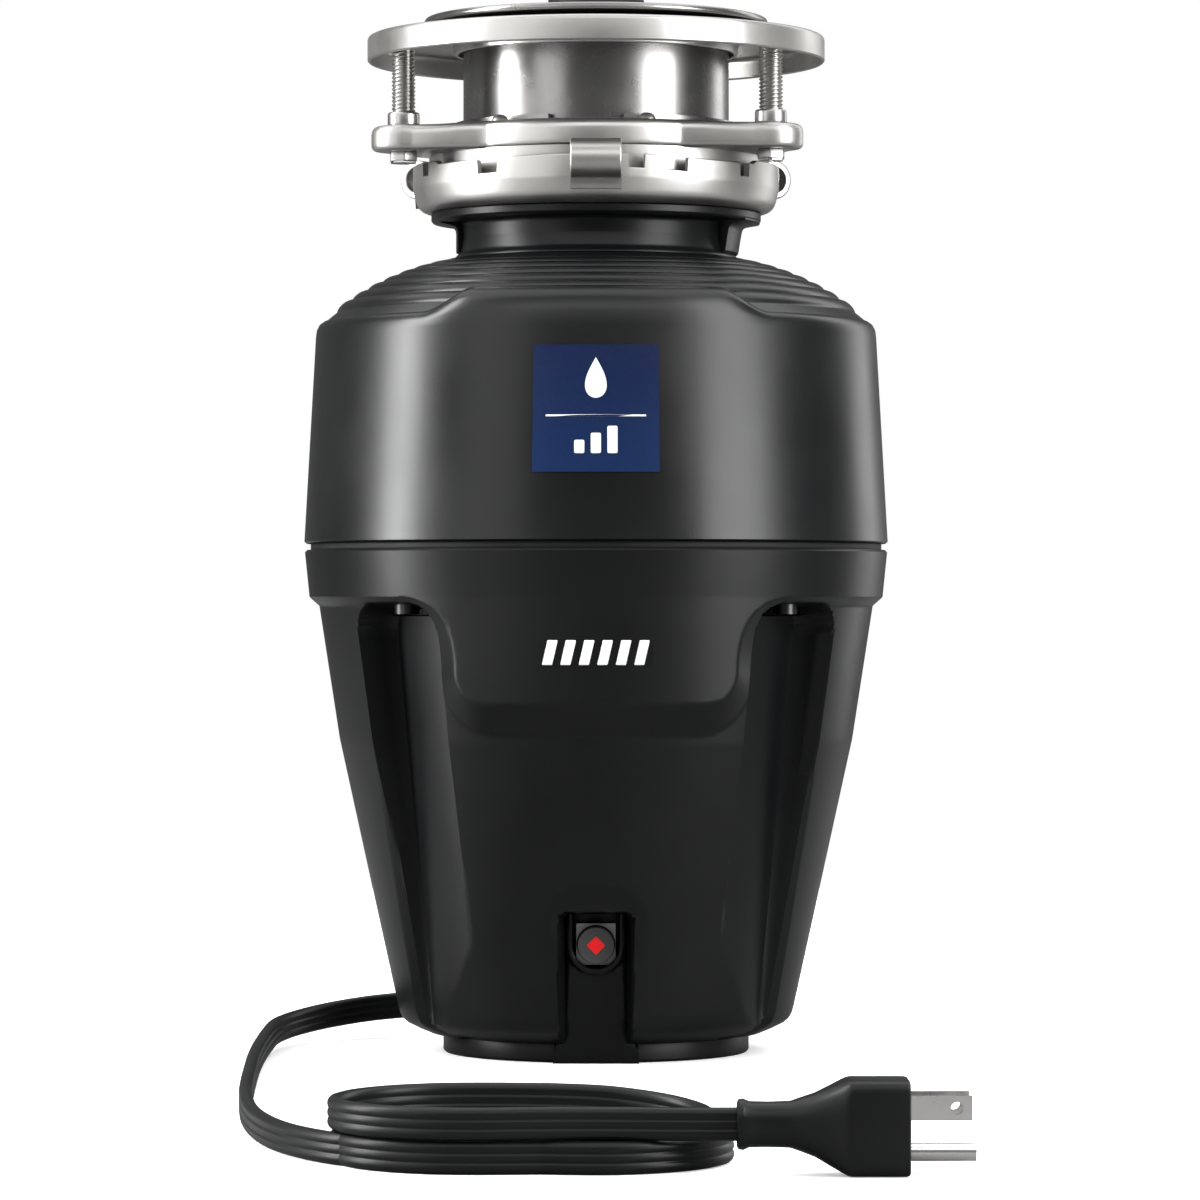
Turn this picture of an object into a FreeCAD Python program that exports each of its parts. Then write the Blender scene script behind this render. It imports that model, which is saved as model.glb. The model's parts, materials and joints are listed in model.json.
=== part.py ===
import FreeCAD, Part
import math
import os
import re
import Sketcher
from FreeCAD import Placement, Rotation, Vector

# A continuous-feed kitchen food waste disposer with a three-bolt sink mount, standing on its base.
# Millimetres, +Z up along the rotor axis, front towards -Y, floor at z = 0.
# Angles around the axis are counted from the front, positive towards +X.

doc = FreeCAD.newDocument("Disposal")
sheet = doc.addObject("Spreadsheet::Sheet", "Dims")

DIMENSIONS = {
    # lower shell, outer radius at each height, and its walls
    "base_top": 6.5,
    "shell_foot_radius": 56.0,
    "shell_low_radius": 65.4,
    "shell_low_height": 15.0,
    "shell_bend_radius": 84.4,
    "shell_bend_height": 101.0,
    "band_foot_radius": 91.5,
    "band_foot_height": 147.3,
    "band_radius": 94.7,
    "band_height": 150.0,
    "seam_radius": 96.2,
    "seam_height": 165.5,
    "seam_gap": 2.0,
    "shell_wall": 3.0,
    "shell_flange_hole": 38.0,
    # four flutes up the lower shell
    "flute_side_angle": 46.0,
    "flute_width_angle": 24.0,
    "flute_floor_radius": 64.0,
    "flute_floor_slope": 0.109,
    "flute_foot": 7.2,
    "flute_ledge": 142.0,
    "flute_top": 148.0,
    "flute_reach": 110.0,
    "screw_circle_radius": 84.0,
    "screw_hole_radius": 2.8,
    # smooth shields on the front and the back
    "shield_width_angle": 68.0,
    "shield_low": 103.0,
    "shield_edge_radius": 92.6,
    "shield_edge_height": 114.0,
    "shield_top_width_angle": 62.0,
    "shield_top_radius": 85.0,
    "shield_top_height": 248.0,
    "shield_inner_radius": 81.0,
    # upper shell
    "upper_foot_radius": 96.4,
    "upper_head_radius": 92.5,
    "upper_head_height": 238.0,
    "upper_top_radius": 89.5,
    "upper_top": 241.0,
    "upper_wall": 2.8,
    "upper_lip_radius": 84.0,
    # domed cover with its concentric ribs, and the collar on its neck
    "dome_foot_radius": 88.5,
    "dome_hole_radius": 42.5,
    "dome_top": 260.5,
    "dome_curve": 82.9,
    "dome_wall": 2.5,
    "rib_count": 7.0,
    "rib_radius": 1.3,
    "rib_first": 83.0,
    "rib_last": 50.0,
    "collar_bore": 41.4,
    "collar_hub_radius": 44.5,
    "collar_hub_foot": 262.0,
    "collar_radius": 54.5,
    "collar_low": 273.5,
    "collar_top": 276.5,
    "collar_tab_angle": 56.0,
    # sink mount
    "ring_low": 276.8,
    "ring_top": 292.0,
    "ring_radius": 60.5,
    "ring_corner": 8.0,
    "ring_wall": 2.5,
    "ring_hole_radius": 46.0,
    "lug_circle": 64.6,
    "lug_height": 290.0,
    "lug_radius": 6.5,
    "lug_hole_radius": 4.25,
    "lug_length": 16.5,
    "mount_low": 290.4,
    "mount_top": 304.0,
    "mount_radius": 52.5,
    "mount_wall": 2.5,
    "mount_plate": 3.0,
    "ear_circle": 69.1,
    "ear_radius": 10.5,
    "ear_low": 294.7,
    "ear_top": 303.8,
    "ear_arm_width": 17.0,
    "ear_first_angle": 55.0,
    "jack_radius": 3.85,
    "jack_hole_radius": 4.15,
    "jack_head_low": 291.0,
    "jack_head_radius": 4.9,
    "jack_tip": 333.2,
    "nut_radius": 5.2,
    "nut_height": 4.0,
    "sleeve_radius": 43.9,
    "sleeve_bore": 42.4,
    "sleeve_foot": 301.0,
    "sink_lip_radius": 57.0,
    "sink_lip_low": 338.5,
    "sink_lip_top": 341.0,
    "dish_radius": 75.6,
    "dish_low": 326.7,
    "dish_top": 335.0,
    "dish_sheet": 1.5,
    "dish_collar_radius": 46.5,
    "dish_collar_low": 329.0,
    "fibre_top": 337.0,
    "stopper_radius": 41.5,
    "stopper_low": 331.0,
    "knob_radius": 16.0,
    "knob_top": 351.0,
    "splash_low": 315.0,
    "splash_thick": 2.5,
    "splash_hole_radius": 12.0,
    "splash_slit_length": 72.0,
    "splash_slit_width": 1.6,
    # grinding chamber
    "neck_radius": 41.0,
    "neck_bore": 38.5,
    "neck_top": 284.0,
    "hopper_radius": 69.5,
    "hopper_bore": 66.5,
    "hopper_low": 198.2,
    "hopper_shoulder": 236.0,
    "grind_ring_low": 166.2,
    "grind_ring_bore": 65.3,
    "grind_ring_radius": 70.5,
    "turntable_radius": 64.5,
    "turntable_low": 168.0,
    "turntable_thick": 4.0,
    "impeller_circle": 46.0,
    "impeller_pin_radius": 4.0,
    "running_gap": 0.05,
    # drain chamber, outlet and dishwasher inlet
    "drain_low": 112.0,
    "drain_floor": 117.0,
    "drain_top": 166.0,
    "drain_radius": 72.0,
    "drain_bore": 69.0,
    "drain_boss_radius": 18.0,
    "drain_boss_top": 131.0,
    "outlet_height": 141.0,
    "outlet_radius": 21.5,
    "outlet_bore": 19.0,
    "outlet_reach": 101.0,
    "outlet_plate_hole": 2.6,
    "outlet_plate_spacing": 62.0,
    "plate_end_radius": 8.0,
    "plate_thick": 3.4,
    "inlet_height": 222.0,
    "inlet_radius": 11.1,
    "inlet_bore": 8.0,
    "inlet_reach": 112.0,
    "inlet_turn": -30.0,
    # motor
    "shaft_radius": 6.0,
    "shaft_low": 44.0,
    "shaft_top": 184.0,
    "can_radius": 52.0,
    "can_wall": 2.0,
    "can_low": 53.0,
    "bell_low": 47.0,
    "bearing_radius": 11.0,
    "bearing_length": 8.0,
    "core_radius": 38.0,
    "core_low": 69.2,
    "core_top": 98.0,
    "winding_radius": 34.0,
    "winding_length": 7.0,
    "commutator_radius": 14.0,
    "commutator_low": 56.0,
    "commutator_length": 5.5,
    "magnet_bore": 39.5,
    "magnet_angle": 130.0,
    # base
    "base_radius": 50.5,
    "base_plate_top": 4.5,
    "tongue_width": 26.4,
    "tongue_top": 46.8,
    "tongue_foot_face": 52.0,
    "tongue_top_face": 62.0,
    "tongue_wall": 3.0,
    "slot_width": 27.0,
    "slot_top": 47.4,
    "base_screw_circle": 43.0,
    "button_height": 38.5,
    "button_radius": 6.0,
    "button_face": 60.6,
    "button_back": 48.5,
    "button_hole_radius": 7.0,
    # badge and name bar
    "badge_low": 189.2,
    "badge_height": 40.0,
    "badge_angle": 24.2,
    "mark_low": 128.0,
    "mark_height": 9.0,
    "mark_angle": 23.0,
    # mains lead: a flat cord on edge, and its earthed plug
    "cord_width": 8.8,
    "relief_height": 12.0,
    "relief_setback": 57.0,
    "relief_start": 22.0,
    "relief_length": 22.0,
    "relief_root_radius": 6.8,
    "relief_end_radius": 4.9,
    "relief_flange_thick": 3.4,
    "relief_flange_width": 11.2,
    "coil_left": -33.0,
    "coil_right": -2.0,
    "coil_setback": -352.0,
    "coil_radius": 40.0,
    "coil_inner_radius": 28.0,
    "tail_setback": 20.0,
    "plug_start": 38.0,
    "plug_setback": -386.0,
    "plug_height": 25.0,
    "plug_depth": 21.0,
    "plug_body_start": 64.0,
    "plug_body_end": 81.5,
    "plug_sleeve_radius": 6.2,
    "plug_shoulder_start": 49.0,
    "blade_length": 16.0,
    "blade_thick": 1.5,
    "blade_width": 6.4,
    "blade_low": 14.6,
    "blade_hole_radius": 1.6,
    "blade_hole_reach": 12.0,
    "earth_pin_radius": 2.4,
    "earth_pin_length": 17.4,
    "earth_pin_height": 5.8,
    "blade_spacing": 12.7,
}

for row, (alias, value) in enumerate(DIMENSIONS.items(), start=1):
    sheet.set(f"A{row}", alias)
    sheet.set(f"B{row}", str(value))
    sheet.setAlias(f"B{row}", alias)
doc.recompute()

pieces = {}


# ---- helpers --------------------------------------------------------------------------------


def bound(formula):
    """The formula with each dimension's name pointing at the sheet."""
    return re.sub(r"\b[a-z][a-z_]*\b(?!\()", r"Dims.\g<0>", str(formula))


def size(formula):
    """The formula's value now, as a plain number."""
    return float(sheet.evalExpression(bound(formula)))


def bind(thing, **formulas):
    for prop, formula in formulas.items():
        thing.setExpression(prop, bound(formula))
    return thing


def keep(name, thing):
    """Names a finished sub-part: its Label is its file's name."""
    thing.Label = name
    pieces[name] = thing
    return thing


def origin_plane(body, role):
    return next(plane for plane in body.Origin.OriginFeatures if plane.Role == role)


def new_body(name):
    return keep(name, doc.addObject("PartDesign::Body", name + "_body"))


def upright_sketch(body, turn=0):
    """A sketch on the plane through the axis: x is the radius and y the height. turn swings it round."""
    sketch = body.newObject("Sketcher::SketchObject", body.Name + "_sketch")
    sketch.AttachmentSupport = [(origin_plane(body, "XZ_Plane"), "")]
    sketch.MapMode = "FlatFace"
    sketch.AttachmentOffset = Placement(Vector(), Rotation(Vector(0, 1, 0), turn))
    return sketch


def level_sketch(body, height):
    """A sketch on a level plane at a height."""
    sketch = body.newObject("Sketcher::SketchObject", body.Name + "_sketch")
    sketch.AttachmentSupport = [(origin_plane(body, "XY_Plane"), "")]
    sketch.MapMode = "FlatFace"
    bind(sketch, **{"AttachmentOffset.Base.z": height})
    return sketch


def fix_point(sketch, line, end, x, y):
    """Binds one end of a line to a pair of formulas."""
    for kind, formula in (("DistanceX", x), ("DistanceY", y)):
        constraint = Sketcher.Constraint(kind, -1, 1, line, end, size(formula))
        index = sketch.addConstraint(constraint)
        sketch.setExpression(f"Constraints[{index}]", bound(formula))


def outline(sketch, corners):
    """A closed outline through the corners, each a pair of formulas."""
    points = [Vector(size(x), size(y), 0) for x, y in corners]
    first = sketch.GeometryCount
    for start, end in zip(points, points[1:] + points[:1]):
        sketch.addGeometry(Part.LineSegment(start, end), False)
    for i in range(len(corners)):
        after = first + (i + 1) % len(corners)
        sketch.addConstraint(Sketcher.Constraint("Coincident", first + i, 2, after, 1))
    for i, (x, y) in enumerate(corners):
        fix_point(sketch, first + i, 1, x, y)


def circle(sketch, x, y, radius):
    where = Part.Circle(Vector(size(x), size(y), 0), Vector(0, 0, 1), size(radius))
    line = sketch.addGeometry(where, False)
    fix_point(sketch, line, 3, x, y)
    index = sketch.addConstraint(Sketcher.Constraint("Radius", line, size(radius)))
    sketch.setExpression(f"Constraints[{index}]", bound(radius))


def volume(body):
    doc.recompute()
    return body.Shape.Volume


def check_change(body, before, sign):
    """Stops when a feature that should add or remove material didn't."""
    if (volume(body) - before) * sign <= 1e-6:
        raise ValueError(f"a feature of {body.Label} changed nothing")


def turned(body, corners, angle="360", turn=0, cut=False):
    """Turns an outline about the axis, over the whole circle or a sector centred on the sketch."""
    before = volume(body) if body.Tip else 0.0
    sketch = upright_sketch(body, turn)
    outline(sketch, corners)
    kind = "PartDesign::Groove" if cut else "PartDesign::Revolution"
    feature = body.newObject(kind, body.Name + ("_groove" if cut else "_revolution"))
    feature.Profile = sketch
    feature.ReferenceAxis = (sketch, ["V_Axis"])
    feature.Midplane = True
    bind(feature, Angle=angle)
    check_change(body, before, -1 if cut else 1)
    return feature


def extruded(body, sketch, length, cut=False, backwards=False, both_ways=False):
    """Pads or pockets a sketch. A pad follows the sketch's normal and a pocket goes against it."""
    before = volume(body) if body.Tip else 0.0
    kind = "PartDesign::Pocket" if cut else "PartDesign::Pad"
    feature = body.newObject(kind, body.Name + ("_pocket" if cut else "_pad"))
    feature.Profile = sketch
    feature.Reversed = backwards
    feature.Midplane = both_ways
    bind(feature, Length=length)
    check_change(body, before, -1 if cut else 1)
    return feature


def drill_up(body, low, length, holes):
    """Holes along Z from a height upwards: each hole is x, y and radius."""
    sketch = level_sketch(body, low)
    for x, y, radius in holes:
        circle(sketch, x, y, radius)
    extruded(body, sketch, length, cut=True, backwards=True)


def drill_back(body, x, height, radius, length, turn=0):
    """A level hole from the axis outwards, towards the back or swung round by turn."""
    sketch = upright_sketch(body, turn)
    circle(sketch, x, height, radius)
    extruded(body, sketch, length, cut=True)


def drill_front(body, height, radius, length):
    sketch = upright_sketch(body)
    circle(sketch, "0", height, radius)
    extruded(body, sketch, length, cut=True, backwards=True)


def around(radius, angle):
    """The x and y formulas of a point at a radius and an angle from the front."""
    return f"({radius}) * sin({angle})", f"0 - ({radius}) * cos({angle})"


def placed(thing, x=0, y=0, z=0, axis=(0, 0, 1), turn=0):
    thing.Placement = Placement(Vector(), Rotation(Vector(*axis), turn))
    bind(thing, **{"Placement.Base.x": x, "Placement.Base.y": y, "Placement.Base.z": z})
    return thing


def box(name, x, y, z, length, width, height, turn=0):
    """A box from its corner at x, y and z; turn swings it about Z at that corner."""
    thing = doc.addObject("Part::Box", name)
    bind(thing, Length=length, Width=width, Height=height)
    return placed(thing, x, y, z, turn=turn)


def rod(name, radius, length, x=0, y=0, z=0, axis=(0, 0, 1), turn=0):
    """A round bar from its end at x, y and z, along Z until it is turned about the axis."""
    thing = doc.addObject("Part::Cylinder", name)
    bind(thing, Radius=radius, Height=length)
    return placed(thing, x, y, z, axis, turn)


def cone(name, radius, end_radius, length, x=0, y=0, z=0, axis=(0, 0, 1), turn=0):
    thing = doc.addObject("Part::Cone", name)
    bind(thing, Radius1=radius, Radius2=end_radius, Height=length)
    return placed(thing, x, y, z, axis, turn)


def joined(name, things):
    thing = doc.addObject("Part::MultiFuse", name)
    thing.Shapes = things
    return thing


def cut_from(name, base, tool):
    thing = doc.addObject("Part::Cut", name)
    thing.Base = base
    thing.Tool = tool
    return thing


def grouped(name, things):
    """Identical separate solids as one sub-part."""
    thing = doc.addObject("Part::Compound", name)
    thing.Links = things
    return thing


# ---- casing ---------------------------------------------------------------------------------

BASE_SCREW_ANGLES = (60, 180, 300)
FLUTES = [1, -1, 3, -3]  # each flute's angle from the front is a multiple of about 45 degrees
ALONG_X = (0, 1, 0)
ALONG_Y = (-1, 0, 0)


def flute_angle(flute):
    """The flutes lean two degrees away from the diagonals, towards the sides."""
    side = size("flute_side_angle")
    angle = side if abs(flute) == 1 else 180 - side
    return math.copysign(angle, flute)


def plane_turn(angle_from_front):
    """How far the upright sketch plane swings to stand at an angle from the front."""
    return angle_from_front - 90


def make_lower_shell():
    body = new_body("lower_shell")
    wall = "shell_wall"
    turned(body, [
        ("shell_foot_radius", "base_top"),
        ("shell_low_radius - 0.6", "shell_low_height - 3.5"),
        ("shell_low_radius", "shell_low_height"),
        ("shell_bend_radius", "shell_bend_height"),
        ("band_foot_radius", "band_foot_height"),
        ("band_radius", "band_height"),
        ("seam_radius", "seam_height"),
        (f"seam_radius - {wall}", "seam_height"),
        (f"band_radius - {wall}", "band_height + 2"),
        (f"band_foot_radius - {wall}", "band_foot_height"),
        (f"shell_bend_radius - {wall}", "shell_bend_height"),
        (f"shell_low_radius - {wall}", "shell_low_height"),
        (f"shell_foot_radius - {wall}", f"base_top + {wall}"),
        ("shell_flange_hole", f"base_top + {wall}"),
        ("shell_flange_hole", "base_top"),
    ])
    floor_at = "flute_floor_radius + flute_floor_slope * ({})"
    for flute in FLUTES:
        turn = plane_turn(flute_angle(flute))
        # the wall behind the flute, and the screw boss above it
        turned(body, [
            (floor_at.format("flute_foot") + f" - {wall}", "flute_foot"),
            ("shell_low_radius - 1", "shell_low_height - 2"),
            ("shell_bend_radius - 1", "shell_bend_height"),
            ("band_foot_radius - 1", "band_foot_height"),
            ("seam_radius - 3", "seam_height"),
            (floor_at.format("flute_top") + f" - {wall}", "seam_height"),
            (floor_at.format("flute_top") + f" - {wall}", "flute_top"),
        ], angle="flute_width_angle + 4", turn=turn)
        turned(body, [
            (floor_at.format("flute_foot"), "flute_foot"),
            ("flute_reach", "flute_foot"),
            ("flute_reach", "flute_top"),
            (floor_at.format("flute_top"), "flute_top"),
        ], angle="flute_width_angle", turn=turn, cut=True)
        # the ledge at the flute's head, under the screw's pocket
        turned(body, [
            (floor_at.format("flute_ledge - 4") + " - 1", "flute_ledge - 4"),
            (floor_at.format("flute_ledge") + " - 1", "flute_ledge"),
            (floor_at.format("flute_ledge") + " + 0.8", "flute_ledge"),
        ], angle="flute_width_angle - 2", turn=turn)
    for side in (0, 180):
        turned(body, [
            ("shell_bend_radius - 2", "shield_low - 2"),
            ("shell_bend_radius + 0.2", "shield_low"),
            ("shield_edge_radius", "shield_edge_height"),
            ("band_radius", "band_height"),
            ("band_foot_radius - 2", "band_foot_height"),
        ], angle="shield_width_angle", turn=plane_turn(side))
    sketch = upright_sketch(body)
    outline(sketch, [
        ("0 - slot_width / 2", "0"),
        ("slot_width / 2", "0"),
        ("slot_width / 2", "slot_top"),
        ("0 - slot_width / 2", "slot_top"),
    ])
    extruded(body, sketch, "flute_reach", cut=True, backwards=True)
    drill_back(body, "0", "outlet_height", "outlet_radius + 1", "flute_reach")
    screw_holes = [
        (*around("screw_circle_radius", flute_angle(flute)), "screw_hole_radius")
        for flute in FLUTES
    ]
    drill_up(body, "flute_top - 1", "seam_height", screw_holes)
    drill_up(body, "0", "base_top + shell_wall + 1", [
        (*around("base_screw_circle", angle), "2.1") for angle in BASE_SCREW_ANGLES
    ])
    sketch = level_sketch(body, "0")
    outline(sketch, [
        ("0 - 46", "relief_setback - 7"),
        ("0 - 14", "relief_setback - 7"),
        ("0 - 14", "relief_setback + 12"),
        ("0 - 46", "relief_setback + 12"),
    ])
    extruded(body, sketch, "relief_height + 8", cut=True, backwards=True)


def make_upper_shell():
    body = new_body("upper_shell")
    wall = "upper_wall"
    foot = "seam_height + seam_gap"
    turned(body, [
        ("upper_foot_radius", foot),
        ("upper_head_radius", "upper_head_height"),
        ("upper_top_radius", "upper_top"),
        ("upper_lip_radius", "upper_top"),
        ("upper_lip_radius", f"upper_top - {wall}"),
        (f"upper_head_radius - {wall}", f"upper_top - {wall}"),
        (f"upper_foot_radius - {wall}", foot),
    ])
    for side in (0, 180):
        turned(body, [
            ("upper_top_radius - 0.3", "upper_top - 0.5"),
            ("upper_top_radius - 0.3", "upper_top + 2"),
            ("shield_top_radius", "shield_top_height"),
            ("shield_inner_radius", "shield_top_height"),
            ("shield_inner_radius", "shield_top_height - 2"),
            ("upper_lip_radius + 1.5", "upper_top - 0.5"),
        ], angle="shield_top_width_angle", turn=plane_turn(side))
    for flute in FLUTES:
        turned(body, [
            ("screw_circle_radius - 6", foot),
            (f"upper_foot_radius - {wall} + 1", foot),
            (f"upper_foot_radius - {wall} + 0.5", "seam_height + 20"),
            ("screw_circle_radius - 6", "seam_height + 20"),
        ], angle="9", turn=plane_turn(flute_angle(flute)))
    drill_up(body, foot + " - 1", "17", [
        (*around("screw_circle_radius", flute_angle(flute)), "screw_hole_radius")
        for flute in FLUTES
    ])
    turn = size("inlet_turn")
    drill_back(body, "0", "inlet_height", "inlet_radius + 0.6", "flute_reach", turn)


def make_seam_gasket():
    body = new_body("seam_gasket")
    turned(body, [
        ("seam_radius - shell_wall + 0.4", "seam_height"),
        ("seam_radius - 1", "seam_height"),
        ("seam_radius - 1", "seam_height + seam_gap"),
        ("seam_radius - shell_wall + 0.4", "seam_height + seam_gap"),
    ])


def make_through_screws():
    parts = []
    for flute in FLUTES:
        x, y = around("screw_circle_radius", flute_angle(flute))
        head = rod("screw_head", "4", "3.4", x, y, "flute_top - 3.5")
        shank = rod("screw_shank", "screw_hole_radius - 0.3", "34", x, y, "flute_top - 1")
        parts.append(joined("through_screw", [head, shank]))
    keep("through_screws", grouped("through_screw_set", parts))


def dome_height(radius):
    """The dome is a round arc that comes level near the neck."""
    past_level = f"({radius} - dome_hole_radius + 6.5)"
    return f"dome_top + 0.3 - dome_curve + sqrt(dome_curve ^ 2 - {past_level} ^ 2)"


def make_dome_cover():
    body = new_body("dome_cover")
    stations = 7
    step = f"(dome_foot_radius - dome_hole_radius) / {stations - 1}"
    radii = [f"(dome_hole_radius + {i} * {step})" for i in range(stations)]
    outer = [(radius, dome_height(radius)) for radius in radii]
    inner = [(radius, f"{top} - dome_wall") for radius, top in outer]
    inner[-1] = ("dome_foot_radius", "upper_top + 0.3")
    outer[-1] = ("dome_foot_radius", "upper_top + 1.6")
    inner[-2] = (radii[-2] + " - 1", "upper_top + 1.8")
    turned(body, outer + inner[::-1])
    for rib in range(int(size("rib_count"))):
        centre = f"rib_first - {rib} * (rib_first - rib_last) / (rib_count - 1)"
        before = volume(body)
        sketch = upright_sketch(body)
        circle(sketch, centre, dome_height(f"({centre})"), "rib_radius")
        ring = body.newObject("PartDesign::Revolution", "rib")
        ring.Profile = sketch
        ring.ReferenceAxis = (sketch, ["V_Axis"])
        check_change(body, before, 1)
    for side in (0, 180):
        turned(body, [
            ("shield_inner_radius - 0.4", "upper_top"),
            ("dome_foot_radius + 5", "upper_top"),
            ("dome_foot_radius + 5", "shield_top_height + 3"),
            ("shield_inner_radius - 0.4", "shield_top_height + 3"),
        ], angle="shield_top_width_angle + 1", turn=plane_turn(side), cut=True)


def make_neck_collar():
    body = new_body("neck_collar")
    turned(body, [
        ("collar_bore", "collar_hub_foot"),
        ("collar_hub_radius", "collar_hub_foot"),
        ("collar_hub_radius", "collar_low"),
        ("collar_radius", "collar_low"),
        ("collar_radius", "collar_top"),
        ("collar_bore", "collar_top"),
    ])
    for side in (90, -90):
        turned(body, [
            ("collar_hub_radius - 1", "collar_hub_foot + 2"),
            ("collar_hub_radius + 2.5", "collar_hub_foot + 2"),
            ("collar_radius", "collar_low + 1"),
            ("collar_radius - 4", "collar_low + 1"),
        ], angle="collar_tab_angle", turn=plane_turn(side))


# ---- sink mount -----------------------------------------------------------------------------


def make_lower_mounting_ring():
    body = new_body("lower_mounting_ring")
    wall = "ring_wall"
    turned(body, [
        ("ring_hole_radius", "ring_low"),
        ("ring_radius - ring_corner", "ring_low"),
        ("ring_radius - ring_corner * 0.3", "ring_low + ring_corner * 0.3"),
        ("ring_radius", "ring_low + ring_corner"),
        ("ring_radius", "ring_top"),
        (f"ring_radius - {wall}", "ring_top"),
        (f"ring_radius - {wall}", "ring_low + ring_corner"),
        (f"ring_radius - ring_corner * 0.3 - {wall} * 0.7", f"ring_low + ring_corner * 0.3 + {wall} * 0.7"),
        ("ring_radius - ring_corner", f"ring_low + {wall}"),
        ("ring_hole_radius", f"ring_low + {wall}"),
    ])
    for lug in range(3):
        angle = lug * 120
        before = volume(body)
        tube = upright_sketch(body, plane_turn(angle))
        circle(tube, "lug_circle", "lug_height", "lug_radius")
        extruded(body, tube, "lug_length", both_ways=True)
        hole = upright_sketch(body, plane_turn(angle))
        circle(hole, "lug_circle", "lug_height", "lug_hole_radius")
        extruded(body, hole, "lug_length + 2", cut=True, both_ways=True)
        check_change(body, before, 1)


def ear_angles():
    return [size("ear_first_angle") + 120 * ear for ear in range(3)]


def make_upper_mounting_ring():
    body = new_body("upper_mounting_ring")
    wall = "mount_wall"
    turned(body, [
        (f"mount_radius - {wall}", "mount_low"),
        ("mount_radius", "mount_low"),
        ("mount_radius", "mount_top"),
        ("sleeve_radius + 0.3", "mount_top"),
        ("sleeve_radius + 0.3", "mount_top - mount_plate"),
        (f"mount_radius - {wall}", "mount_top - mount_plate"),
    ])
    for angle in ear_angles():
        x, y = around("ear_circle", angle)
        before = volume(body)
        boss = level_sketch(body, "ear_low")
        circle(boss, x, y, "ear_radius")
        extruded(body, boss, "ear_top - ear_low")
        arm = level_sketch(body, "ear_low + 2.5")
        arm.AttachmentOffset = Placement(Vector(), Rotation(Vector(0, 0, 1), plane_turn(angle)))
        bind(arm, **{"AttachmentOffset.Base.z": "ear_low + 2.5"})
        outline(arm, [
            ("mount_radius - 1.5", "0 - ear_arm_width / 2"),
            ("ear_circle", "0 - ear_arm_width / 2"),
            ("ear_circle", "ear_arm_width / 2"),
            ("mount_radius - 1.5", "ear_arm_width / 2"),
        ])
        extruded(body, arm, "ear_top - ear_low - 4")
        check_change(body, before, 1)
    drill_up(body, "ear_low - 1", "20", [
        (*around("ear_circle", angle), "jack_hole_radius") for angle in ear_angles()
    ])


def make_jack_screws():
    screws = []
    nuts = []
    for angle in ear_angles():
        x, y = around("ear_circle", angle)
        head = doc.addObject("Part::Prism", "jack_head")
        head.Polygon = 6
        bind(head, Circumradius="jack_head_radius", Height="ear_low - 0.3 - jack_head_low")
        placed(head, x, y, "jack_head_low")
        shank = rod("jack_shank", "jack_radius", "jack_tip - jack_head_low - 1", x, y, "jack_head_low + 1")
        screws.append(joined("jack_screw", [head, shank]))
        nut = rod("nut", "nut_radius", "nut_height", x, y, "ear_top + 0.1")
        bore = rod("nut_bore", "jack_hole_radius", "nut_height + 2", x, y, "ear_top - 1")
        nuts.append(cut_from("collar_nut", nut, bore))
    keep("jack_screws", grouped("jack_screw_set", screws))
    keep("collar_nuts", grouped("collar_nut_set", nuts))


def make_snap_ring():
    body = new_body("snap_ring")
    turned(body, [
        ("sleeve_radius + 0.2", "mount_top + 0.1"),
        ("sleeve_radius + 3.4", "mount_top + 0.1"),
        ("sleeve_radius + 3.4", "mount_top + 2"),
        ("sleeve_radius + 0.2", "mount_top + 2"),
    ], angle="330", turn=plane_turn(176))


def make_mounting_gasket():
    body = new_body("mounting_gasket")
    turned(body, [
        ("neck_radius + 0.4", "ring_low + ring_wall + 0.2"),
        ("mount_radius - 1.5", "ring_low + ring_wall + 0.2"),
        ("mount_radius - 1.5", "mount_low - 0.6"),
        ("mount_radius - 3", "mount_low - 0.6"),
        ("mount_radius - 3", "sleeve_foot - 0.4"),
        ("neck_radius + 0.4", "sleeve_foot - 0.4"),
    ])


def make_sink_flange():
    body = new_body("sink_flange")
    turned(body, [
        ("sleeve_bore", "sleeve_foot"),
        ("sleeve_radius", "sleeve_foot"),
        ("sleeve_radius", "sink_lip_low"),
        ("sink_lip_radius - 0.8", "sink_lip_low"),
        ("sink_lip_radius", "sink_lip_low + 0.8"),
        ("sink_lip_radius - 1.2", "sink_lip_low + 1.7"),
        ("sleeve_radius + 6", "sink_lip_top"),
        ("sleeve_bore + 1.6", "sink_lip_top - 1.6"),
        ("sleeve_bore", "sink_lip_top - 5"),
    ])


def make_backup_flange():
    body = new_body("backup_flange")
    sheet_of = "dish_sheet"
    turned(body, [
        ("dish_radius", "dish_low"),
        ("dish_radius", "dish_top - 2"),
        ("dish_radius - 2", "dish_top"),
        ("sleeve_radius + 0.3", "dish_top"),
        ("sleeve_radius + 0.3", "dish_collar_low"),
        ("dish_collar_radius", "dish_collar_low"),
        ("dish_collar_radius", f"dish_top - {sheet_of}"),
        ("dish_radius - 2", f"dish_top - {sheet_of}"),
        (f"dish_radius - {sheet_of}", "dish_top - 3"),
        (f"dish_radius - {sheet_of}", "dish_low"),
    ])


def make_fibre_gasket():
    body = new_body("fibre_gasket")
    turned(body, [
        ("sleeve_radius + 0.3", "dish_top"),
        ("dish_radius - 2.2", "dish_top"),
        ("dish_radius - 2.2", "fibre_top"),
        ("sleeve_radius + 0.3", "fibre_top"),
    ])


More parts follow.
